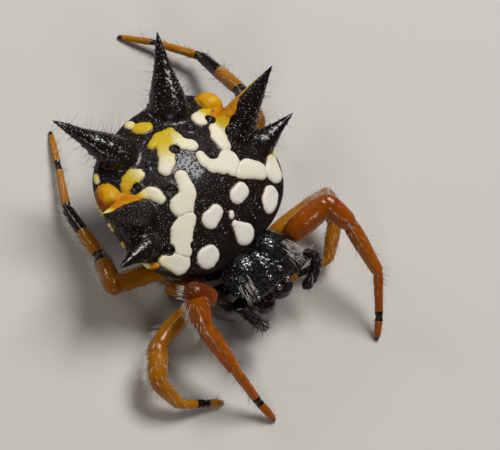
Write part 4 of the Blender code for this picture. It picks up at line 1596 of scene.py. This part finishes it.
@dataclass
class MouthParts:
    """The jaws and the feelers.

    Args:
        space: the spider's frame.
        jaw: places and half-widths along the left jaw.
        palp: places and half-widths along the left feeler.
        palp_pieces: the first of the places of each of its lengths, and the one after the last.
    """

    space: BodySpace
    jaw: tuple[tuple[Place, float], ...] = (
        ((0.66, -2.82, 2.62), 0.24), ((0.68, -2.95, 2.5), 0.42), ((0.7, -3.12, 2.2), 0.52),
        ((0.7, -3.2, 1.8), 0.5), ((0.66, -3.16, 1.42), 0.4), ((0.58, -3.1, 1.12), 0.27),
        ((0.46, -3.02, 0.95), 0.15), ((0.32, -2.96, 0.9), 0.08),
    )
    palp: tuple[tuple[Place, float], ...] = (
        ((1.3, -2.9, 2.3), 0.22), ((1.8, -2.9, 2.5), 0.29), ((2.52, -2.95, 3.15), 0.29),
        ((2.62, -3.22, 3.28), 0.28), ((2.48, -3.56, 3.15), 0.32), ((2.22, -3.8, 2.72), 0.3),
        ((2.04, -3.93, 2.4), 0.29), ((1.8, -3.96, 2.1), 0.3), ((1.6, -3.95, 1.82), 0.15),
    )
    palp_pieces: tuple[tuple[int, int], ...] = ((0, 3), (2, 5), (4, 7), (6, 9))
    voxel: float = 0.04
    feeler_hairs: int = 190
    jaw_hairs: int = 50

    def build(self, jaw_finish: Material, palp_finish: Material) -> dict[str, Skin]:
        """Makes the jaws and the feelers.

        Args:
            jaw_finish: the jaws' material.
            palp_finish: the feelers' material.

        Returns:
            The skins by piece, for the coat.
        """
        kept = {}
        for side in Side:
            word = side.name.lower()
            clay = Clay()
            clay.tube([Station(side.place(place), radius) for place, radius in self.jaw], 24)
            kept["jaw_" + word] = self.melt(clay, "jaw_" + word, jaw_finish, ("chelicera_" + word,))
            clay = Clay()
            stations = [Station(side.place(place), radius) for place, radius in self.palp]
            for start, end in self.palp_pieces:
                swollen = [
                    Station(station.place, station.radius * (0.82 if index in (start, end - 1) else 1.05))
                    for index, station in list(enumerate(stations))[start:end]
                ]
                clay.tube(swollen, 18)
            for station in stations[1:-1]:
                clay.ball(station.place, (station.radius,) * 3)
            nodes = ("palp_" + word + "_base", "palp_" + word + "_tip")
            kept["feeler_" + word] = self.melt(clay, "feeler_" + word, palp_finish, nodes)
        return kept

    def melt(self, clay: Clay, name: str, finish: Material, nodes: Sequence[str]) -> Skin:
        """Melts one jaw or feeler and puts it on the spider."""
        return settle_skin(Skin(clay.melt(self.voxel, 3)), name, self.space, finish, nodes)

    def bristles(self, skins: dict[str, Skin], pale: Coat, brown: Coat) -> None:
        """Plans the hairs of the feelers and the jaws."""
        for number, (name, skin) in enumerate(sorted(skins.items())):
            feeler = name.startswith("feeler")
            count = self.feeler_hairs if feeler else self.jaw_hairs
            places, normals = skin.scatter(count, np.ones(len(skin.places)), 41 + number)
            picker = np.random.default_rng(45 + number)
            lie = normals * 0.8 + np.array([0.0, -0.4, -0.7]) + picker.normal(size=(count, 3)) * 0.2
            lengths = picker.uniform(0.2, 0.5, count)
            bends = picker.normal(size=(count, 3)) * 0.1
            widths = picker.uniform(0.01, 0.015, count)
            spread = unwrap_round(places, tuple(skin.places.mean(axis=0)), 2, (0.8, 3.6))
            plan = HairPlan(places - normals * ROOT_DEPTH, lie, lengths, bends, widths, spread)
            share = count // 5 if feeler else 0
            pale.plans.append(HairPlan(*(column[:share] for column in plan)))
            brown.plans.append(HairPlan(*(column[share:] for column in plan)))


@dataclass
class Underside:
    """The breast plate and the spinnerets.

    Args:
        space: the spider's frame.
    """

    space: BodySpace
    breast: Place = (0.0, -0.95, 1.82)
    breast_radii: Place = (0.6, 1.36, 0.34)
    boss: Place = (0.42, -0.95, 1.82)
    boss_radii: Place = (0.17, 0.16, 0.26)
    boss_step: float = 0.48
    spinneret_top: Place = (0.0, SPINNERETS_Y, 1.02)
    spinneret_dome: Place = (0.5, 0.52, 0.16)
    breast_voxel: float = 0.045
    spinneret_voxel: float = 0.04

    def build(self, finish: Material) -> None:
        """Makes both pieces."""
        clay = Clay()
        clay.ball(self.breast, self.breast_radii)
        for step in range(-2, 3):
            for side in Side:
                clay.ball(side.place(self.boss) + Vector((0.0, step * self.boss_step, 0.0)), self.boss_radii)
        plate = clay.melt(self.breast_voxel, 3)
        settle(plate, "breast_plate", self.space, finish, ("sternum",))
        clay = Clay()
        top = Vector(self.spinneret_top)
        clay.ball(top - Vector((0.0, 0.0, 0.1)), self.spinneret_dome)
        for turn in range(6):
            angle = math.radians(60 * turn + 30)
            out = Vector((math.cos(angle), math.sin(angle), 0.0))
            reach = 0.36 if turn % 3 else 0.3
            base, tip = top + out * 0.3, top + out * 0.2 - Vector((0.0, 0.0, reach + 0.2))
            shares = (0.0, 0.35, 0.7, 1.0)
            clay.tube([Station(base.lerp(tip, share), 0.16 - 0.07 * share) for share in shares], 14)
        cluster = clay.melt(self.spinneret_voxel, 2)
        settle(cluster, "spinneret_cluster", self.space, finish, ("spinnerets",))


# Legs


class Part(Enum):
    """The lengths of a leg, from the body out."""

    COXA = 0
    FEMUR = 1
    PATELLA = 2
    TIBIA = 3
    METATARSUS = 4
    TARSUS = 5


@dataclass(frozen=True)
class Form:
    """The swell of one length: its greatest half-width and (share, share of that) along it."""

    half_width: float
    profile: Profile


FORMS = {
    Part.COXA: Form(0.38, ((-0.12, 0.3), (0.0, 0.78), (0.4, 1.0), (0.85, 1.0), (1.06, 0.7), (1.16, 0.3))),
    Part.FEMUR: Form(0.68, (
        (-0.09, 0.2), (-0.03, 0.52), (0.06, 0.66), (0.25, 0.92), (0.5, 1.0), (0.8, 0.96), (0.97, 0.82),
        (1.05, 0.62), (1.1, 0.3),
    )),
    Part.PATELLA: Form(0.58, (
        (-0.26, 0.35), (-0.14, 0.78), (0.05, 0.98), (0.4, 1.0), (0.8, 0.92), (1.0, 0.78), (1.1, 0.35),
    )),
    Part.TIBIA: Form(0.44, (
        (-0.09, 0.3), (-0.02, 0.84), (0.12, 1.0), (0.45, 0.98), (0.8, 0.82), (0.97, 0.76), (1.04, 0.4),
    )),
    Part.METATARSUS: Form(0.27, (
        (-0.09, 0.35), (0.0, 0.95), (0.2, 1.0), (0.6, 0.86), (0.95, 0.8), (1.05, 0.4),
    )),
    Part.TARSUS: Form(0.215, (
        (-0.08, 0.4), (0.04, 0.96), (0.35, 1.0), (0.75, 0.86), (0.94, 0.68), (1.04, 0.3),
    )),
}


class Band(NamedTuple):
    """A black ring on one length of a leg, from a share to a share of it."""

    part: Part
    start: float
    end: float


LONG_BANDS = (Band(Part.METATARSUS, 0.84, 1.06), Band(Part.TARSUS, 0.93, 1.2))
SECOND_BANDS = (Band(Part.METATARSUS, 0.62, 1.1), Band(Part.TARSUS, 0.93, 1.2))
REAR_BANDS = (
    Band(Part.PATELLA, 0.78, 1.1), Band(Part.TIBIA, 0.52, 1.06), Band(Part.METATARSUS, 0.84, 1.06),
    Band(Part.TARSUS, 0.9, 1.2),
)


@dataclass(frozen=True)
class LegPlan:
    """One leg: its seven joints from the breast plate to the foot, its sizes and its colouring.

    Args:
        name: the leg's name.
        thickness: its lengths' half-widths as a share of the usual ones.
        thigh: the thigh's half-width as a share of the usual one.
        joints: the seven places.
        bow: how far the thigh's middle stands off the straight line.
        red: from 0 for ochre to 1 for orange.
        bands: its black rings.
        dark_root_and_shade: the share of the thigh that is dark, from the hip; on the right front legs it
            reaches far down the thigh as painted shade.
        painted_thigh_shade: painted shade laid over the whole thigh as russet.
    """

    name: str
    thickness: float
    thigh: float
    joints: tuple[Place, ...]
    bow: Place = (0.0, 0.0, 0.0)
    red: float = 0.0
    bands: tuple[Band, ...] = LONG_BANDS
    dark_root_and_shade: float = 0.1
    painted_thigh_shade: float = 0.0


LEGS = (
    LegPlan(
        "leg_1_left", thickness=1.0, thigh=1.0, bow=(0.0, 0.0, 0.25), red=0.85,
        joints=((0.95, -2.3, 1.85), (2.5, -1.5, 2.4), (4.65, -1.85, 4.6), (5.0, -3.4, 4.1),
                (4.9, -6.1, 2.7), (4.0, -7.7, 0.9), (3.45, -8.35, 0.13)),
    ),
    LegPlan(
        # Its russet thigh and its long dark thigh root are painted shade.
        "leg_1_right", thickness=1.06, thigh=1.0, red=0.85, dark_root_and_shade=0.68, painted_thigh_shade=0.45,
        joints=((-0.95, -2.3, 1.85), (-2.35, -2.42, 1.7), (-4.35, -0.5, 4.3), (-5.05, -2.0, 3.7),
                (-5.0, -4.65, 2.5), (-4.55, -6.5, 0.9), (-4.25, -7.65, 0.13)),
    ),
    LegPlan(
        "leg_2_left", thickness=0.9, thigh=0.75, red=0.1, bands=SECOND_BANDS,
        joints=((1.08, -1.4, 1.85), (2.3, -0.65, 1.5), (6.3, -1.25, 2.4), (5.8, -2.55, 1.9),
                (4.45, -3.65, 0.85), (2.85, -3.1, 0.45), (1.85, -2.8, 0.13)),
    ),
    LegPlan(
        "leg_2_right", thickness=0.96, thigh=0.74, bow=(0.0, 0.2, 0.0), red=0.14, bands=SECOND_BANDS,
        joints=((-1.08, -1.4, 1.85), (-2.6, -0.8, 1.5), (-6.9, -1.05, 2.0), (-8.2, -2.3, 1.8),
                (-7.7, -3.8, 0.8), (-6.45, -4.65, 0.45), (-5.6, -5.15, 0.13)),
        # The longer dark thigh root is painted shade.
        dark_root_and_shade=0.25,
    ),
    LegPlan(
        "leg_3_left", thickness=0.75, thigh=0.7, red=0.3,
        joints=((1.08, -0.5, 1.85), (2.1, 0.22, 1.75), (3.9, 0.7, 2.6), (4.6, 1.35, 2.0),
                (4.75, 2.1, 0.9), (4.4, 2.9, 0.4), (4.0, 3.5, 0.12)),
    ),
    LegPlan(
        "leg_3_right", thickness=0.72, thigh=0.65, red=0.3,
        joints=((-1.08, -0.5, 1.85), (-1.95, 0.05, 1.7), (-3.35, 0.4, 1.8), (-3.6, 0.95, 1.2),
                (-3.0, 1.7, 0.6), (-2.2, 2.1, 0.4), (-1.5, 2.4, 0.12)),
    ),
    LegPlan(
        "leg_4_left", thickness=0.9, thigh=0.8, red=0.05, bands=REAR_BANDS,
        joints=((0.9, 0.36, 1.85), (2.45, 1.4, 2.05), (6.1, 4.0, 3.4), (7.05, 5.85, 3.0),
                (8.0, 9.05, 1.2), (6.95, 11.45, 0.6), (6.0, 13.0, 0.13)),
    ),
    LegPlan(
        "leg_4_right", thickness=0.9, thigh=0.8, red=0.2, bands=REAR_BANDS,
        joints=((-0.9, 0.36, 1.85), (-2.45, 1.4, 2.05), (-6.35, 2.75, 2.5), (-5.35, 4.35, 1.9),
                (-4.15, 7.6, 0.9), (-2.4, 9.8, 0.5), (-1.15, 11.4, 0.13)),
    ),
)


@dataclass
class Leg:
    """One leg as a single skin over its four solids.

    Args:
        space: the spider's frame.
        plan: its joints, sizes and colouring.
    """

    space: BodySpace
    plan: LegPlan
    voxel: float = 0.042
    claw: float = 0.14
    claw_gap: float = 0.05
    steps: int = 16
    outward: Place = (0.64, 0.72, -0.2)
    white_hairs: int = 250
    white_lengths: tuple[float, float] = (0.28, 0.48)
    white_width: float = 0.0085
    bristles: int = 130
    bristle_lengths: tuple[float, float] = (0.25, 0.5)
    bristle_width: float = 0.009

    def half_width(self, part: Part, share: float) -> float:
        """Half-width of a length at a share along it."""
        size = self.plan.thigh if part is Part.FEMUR else self.plan.thickness
        return between(FORMS[part].profile, share) * FORMS[part].half_width * size

    def middle(self, part: Part, share: float) -> Vector:
        """A place on a length's middle line."""
        start, end = (Vector(self.plan.joints[part.value + step]) for step in (0, 1))
        lean = 4.0 * share * (1.0 - share) if part is Part.FEMUR else 0.0
        return start.lerp(end, share) + Vector(self.plan.bow) * lean

    def sculpt(self) -> Skin:
        """Melts the six lengths, the knuckles and the claws into one skin."""
        clay = Clay()
        for part in Part:
            profile = FORMS[part].profile
            first, last = profile[0][0], profile[-1][0]
            shares = [first + (last - first) * step / self.steps for step in range(self.steps + 1)]
            stations = [Station(self.middle(part, share), self.half_width(part, share)) for share in shares]
            clay.tube(stations, 22)
        for part in list(Part)[1:]:
            radius = min(self.half_width(part, 0.03), self.half_width(Part(part.value - 1), 0.97)) * 0.9
            clay.ball(self.middle(part, 0.0), (radius,) * 3)
        self.claws(clay)
        return Skin(clay.melt(self.voxel, 3))

    def claws(self, clay: Clay) -> None:
        """Adds the pair of small claws under the foot's tip."""
        tip = self.middle(Part.TARSUS, 0.96)
        ahead = (tip - self.middle(Part.TARSUS, 0.5)).normalized()
        side = ahead.cross(Vector((0.0, 0.0, 1.0))).normalized()
        for way in (-1, 1):
            start = tip + side * way * self.claw_gap
            end = start + ahead * self.claw + side * way * 0.03 - Vector((0.0, 0.0, 0.03))
            clay.tube([Station(start, 0.07), Station(start.lerp(end, 0.5), 0.06), Station(end, 0.045)], 8)

    def along(self, places: Rows) -> tuple[Rows, Rows, Rows]:
        """Finds which length each place is on.

        Args:
            places: the skin's points.

        Returns:
            The length's number, the share along it, and the place on its middle line.
        """
        best = np.full(len(places), 1e9)
        number, share, middle = np.zeros(len(places), int), np.zeros(len(places)), np.zeros((len(places), 3))
        for part in Part:
            start, end = (np.array(self.plan.joints[part.value + step]) for step in (0, 1))
            line = end - start
            at = (places - start) @ line / (line @ line)
            held = np.clip(at, 0.0, 1.0)
            nearest = start + held[:, None] * line
            size = FORMS[part].half_width
            away = np.linalg.norm(places - nearest, axis=1) / size
            closer = away < best
            best = np.where(closer, away, best)
            number = np.where(closer, part.value, number)
            share = np.where(closer, at, share)
            middle = np.where(closer[:, None], nearest, middle)
        return number, share, middle

    def build(self, finish: Material) -> Skin:
        """Makes the leg's piece.

        Args:
            finish: its material.

        Returns:
            Its skin in millimetres.
        """
        skin = self.sculpt()
        number, share, _ = self.along(skin.places)
        skin.swell(ripple(skin.places, 0.45, 51 + len(self.plan.name)) * 0.008)
        skin.places[:, 2] = np.maximum(skin.places[:, 2], 0.0)
        skin.mesh.vertices.foreach_set("co", skin.places.reshape(-1))
        skin.paint("dark", self.darkness(number, share))
        skin.paint("red", np.clip(self.plan.red + 0.15 * ripple(skin.places, 1.8, 61), 0.0, 1.0))
        skin.paint("rust", self.knee_rust_and_thigh_shade(number, share))
        name = self.plan.name
        nodes = tuple(name + "_" + word for word in ("coxa", "femur", "tibia", "tarsus"))
        return settle_skin(skin, name + "_skin", self.space, finish, nodes)

    def darkness(self, number: Rows, share: Rows) -> Rows:
        """1 on the hip, the dark root of the thigh and the rings, by length and share along it; the long dark
        roots of the right front legs are painted shade.
        """
        root = fade(share, self.plan.dark_root_and_shade + 0.06, self.plan.dark_root_and_shade - 0.06)
        dark = np.maximum((number == Part.COXA.value) * 1.0, (number == Part.FEMUR.value) * root)
        for band in self.plan.bands:
            ring = fade(share, band.start - 0.02, band.start + 0.02)
            ring = ring * fade(share, band.end + 0.02, band.end - 0.02)
            dark = np.maximum(dark, (number == band.part.value) * ring)
        return dark

    def knee_rust_and_thigh_shade(self, number: Rows, share: Rows) -> Rows:
        """How russet the leg is: russet about the knee, and painted shade over the thigh where its plan says.
        """
        thigh = np.clip(share - 0.55, 0.0, 0.45) * 1.1 + self.plan.painted_thigh_shade
        shin = np.clip(0.5 - share, 0.0, 0.5) * 0.5
        rust = (number == Part.PATELLA.value) * 0.28 + (number == Part.TIBIA.value) * shin
        return np.clip(rust + (number == Part.FEMUR.value) * thigh, 0.0, 1.0)

    def hairs(self, skin: Skin, pale: Coat, dark: Coat, seed: int) -> None:
        """Plans the white hairs of the leg's outer side and its dark bristles.

        Args:
            skin: the leg's skin.
            pale: the coat of white hairs.
            dark: the coat of bristles.
            seed: start of the random numbers.
        """
        number, share, _ = self.along(skin.places)
        side = Side.LEFT if "left" in self.plan.name else Side.RIGHT
        outer = skin.normals @ (np.array(self.outward) * [side.value, 1.0, 1.0])
        upper = 0.03 * np.clip(skin.normals[:, 2], 0.0, 1.0) + 3.4 * np.clip(outer - 0.66, 0.0, 1.0)
        dense = (number == Part.PATELLA.value) * 1.4 + (number == Part.TIBIA.value) * 1.0
        dense += (number == Part.FEMUR.value) * (share > 0.7) + (number == Part.METATARSUS.value) * 0.4
        dense = dense * upper
        self.plant(skin, dense, self.white_hairs, self.white_lengths, pale, seed, self.white_width)
        shank = (number >= Part.TIBIA.value) * 1.0 + (number == Part.FEMUR.value) * 0.12
        self.plant(skin, shank, self.bristles, self.bristle_lengths, dark, seed + 1, self.bristle_width)

    def plant(self, skin: Skin, density: Rows, count: int, reach: tuple[float, float], coat: Coat, seed: int,
              width: float) -> None:
        """Plans hairs that lie towards the foot.

        Args:
            skin: the leg's skin.
            density: how thickly they stand at each point.
            count: how many.
            reach: shortest and longest hair.
            coat: the coat that they go to.
            seed: start of the random numbers.
            width: their half-width at the root.
        """
        places, normals = skin.scatter(count, density + 1e-6, seed)
        number, share, _ = self.along(places)
        joints = np.array(self.plan.joints)
        down = joints[number + 1] - joints[number]
        down /= np.linalg.norm(down, axis=1)[:, None]
        picker = np.random.default_rng(seed + 7)
        lie = normals * 0.95 + down * 0.62 + picker.normal(size=(count, 3)) * 0.15
        lie[:, 2] = np.maximum(lie[:, 2], -places[:, 2] * 0.4)
        floor_room = np.clip((places[:, 2] - 0.12) / 0.3, 0.15, 1.0)
        lengths = picker.uniform(*reach, count) * floor_room
        bends = down * 0.25 + picker.normal(size=(count, 3)) * 0.08
        turn = np.arctan2(normals[:, 0], normals[:, 1]) / (2 * math.pi) + 0.5
        spread = np.stack([turn, np.clip((number + np.clip(share, 0, 1)) / 6.0, 0, 1)], axis=1)
        widths = width * picker.uniform(0.8, 1.3, count)
        coat.plans.append(HairPlan(places - normals * ROOT_DEPTH, lie, lengths, bends, widths, spread))


# Stage


class Lamp(NamedTuple):
    """A soft square light that faces the spider.

    Args:
        name: its name.
        direction: from the spider to the light.
        distance: in metres.
        size: its side in metres.
        power: in watts.
        tint: its colour.
    """

    name: str
    direction: Place
    distance: float
    size: float
    power: float
    tint: Colour


@dataclass(frozen=True)
class Studio:
    """The floor, the lights and the camera.

    Args:
        space: the spider's frame.
        camera_place: the camera's place in the spider's frame.
        camera_right: the picture's right in that frame.
        camera_up: the picture's up in that frame.
        frame_width: millimetres that the picture shows across.
        distance: how far off the camera stands, in millimetres.
        floor_half: half the floor's side in metres.
    """

    space: BodySpace
    camera_place: Place = (-74.548, -18.089, 133.401)
    camera_right: Place = (0.6385, -0.720, 0.271)
    camera_up: Place = (0.5851, 0.683, 0.437)
    frame_width: float = 25.5
    distance: float = 150.0
    floor_half: float = 0.6
    sky: Colour = (0.80, 0.79, 0.77)
    sky_strength: float = 0.085
    lamps: tuple[Lamp, ...] = (
        Lamp("sky_light", (0.45, 0.2, 0.87), 0.28, 0.12, 0.78, (0.98, 0.99, 1.0)),
        Lamp("camera_light", (-0.75, -0.45, 0.6), 0.3, 0.07, 0.2, (1.0, 0.97, 0.92)),
        Lamp("rear_light", (-0.1, 0.95, 0.5), 0.3, 0.06, 0.14, (1.0, 0.98, 0.95)),
    )

    def camera(self) -> None:
        """Sets the camera to the photo's viewing angle and framing."""
        data = bpy.data.cameras.new("camera")
        camera = bpy.data.objects.new("camera", data)
        bpy.context.scene.collection.objects.link(camera)
        data.sensor_width = 36.0
        data.lens = data.sensor_width * self.distance / self.frame_width
        data.clip_start, data.clip_end = 0.001, 10.0
        right = Vector(self.camera_right).normalized()
        up = Vector(self.camera_up)
        up = (up - right * up.dot(right)).normalized()
        turned = Matrix((right, up, right.cross(up))).transposed().to_4x4()
        turned.translation = Vector(self.camera_place) * MM + self.space.shift
        camera.matrix_world = turned
        bpy.context.scene.camera = camera

    def hang(self, lamp: Lamp) -> None:
        """Adds one light."""
        data = bpy.data.lights.new(lamp.name, "AREA")
        data.size, data.energy, data.color = lamp.size, lamp.power, lamp.tint
        light = bpy.data.objects.new(lamp.name, data)
        bpy.context.scene.collection.objects.link(light)
        away = Vector(lamp.direction).normalized()
        facing = away.to_track_quat("Z", "Y").to_matrix().to_4x4()
        light.matrix_world = Matrix.Translation(self.space.shift + away * lamp.distance) @ facing

    def floor(self) -> None:
        """Makes the floor."""
        shape = bmesh.new()
        bmesh.ops.create_grid(shape, x_segments=1, y_segments=1, size=self.floor_half)
        mesh = bpy.data.meshes.new("floor")
        shape.to_mesh(mesh)
        shape.free()
        mesh.materials.append(FloorFinish().material())
        floor = bpy.data.objects.new("floor", mesh)
        bpy.context.scene.collection.objects.link(floor)

    def build(self) -> None:
        """Makes the floor, the lights, the sky and the camera."""
        self.floor()
        for lamp in self.lamps:
            self.hang(lamp)
        world = bpy.data.worlds.new("studio")
        world.use_nodes = True
        Wiring(world.node_tree).fit(
            world.node_tree.nodes["Background"], Color=self.sky, Strength=self.sky_strength
        )
        bpy.context.scene.world = world
        bpy.context.scene.view_settings.view_transform = "Standard"
        self.camera()


def dress(space: BodySpace) -> None:
    """Builds every piece of the spider.

    Args:
        space: the spider's frame.
    """
    pale_hair = HairFinish("pale_hair", (0.86, 0.83, 0.76), (0.55, 0.5, 0.42), 0.4)
    dark_hair = HairFinish("dark_hair", (0.05, 0.036, 0.026), (0.012, 0.009, 0.007), 0.38)
    pale = Coat("white_hairs", pale_hair.material(), "head_black")
    dark = Coat("dark_hairs", dark_hair.material(), "head_black")
    abdomen = Abdomen(space)
    shell = AbdomenFinish().material()
    back = abdomen.build(shell)
    feet = abdomen.feet(back)
    abdomen.granules(feet, shell)
    abdomen.setae(back, feet, dark)
    head = Head(space)
    head.tufts(head.build(HEAD_SHELL.material()), pale, dark)
    head.eyes(EyeFinish().material())
    mouth = MouthParts(space)
    mouth.bristles(mouth.build(JAW_SHELL.material(), FEELER_SHELL.material()), pale, dark)
    Underside(space).build(HIP_SHELL.material())
    leg_skin = LegFinish().material()
    for number, plan in enumerate(LEGS):
        leg = Leg(space, plan)
        leg.hairs(leg.build(leg_skin), pale, dark, 100 + 10 * number)
    pale.grow(space)
    dark.grow(space)


def main() -> None:
    """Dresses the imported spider."""
    logging.basicConfig(level=logging.INFO, format="%(name)s %(message)s")
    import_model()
    space = BodySpace.from_solids(SPINNERETS_Y)
    Studio(space).build()
    dress(space)


if __name__ == "__main__":
    main()
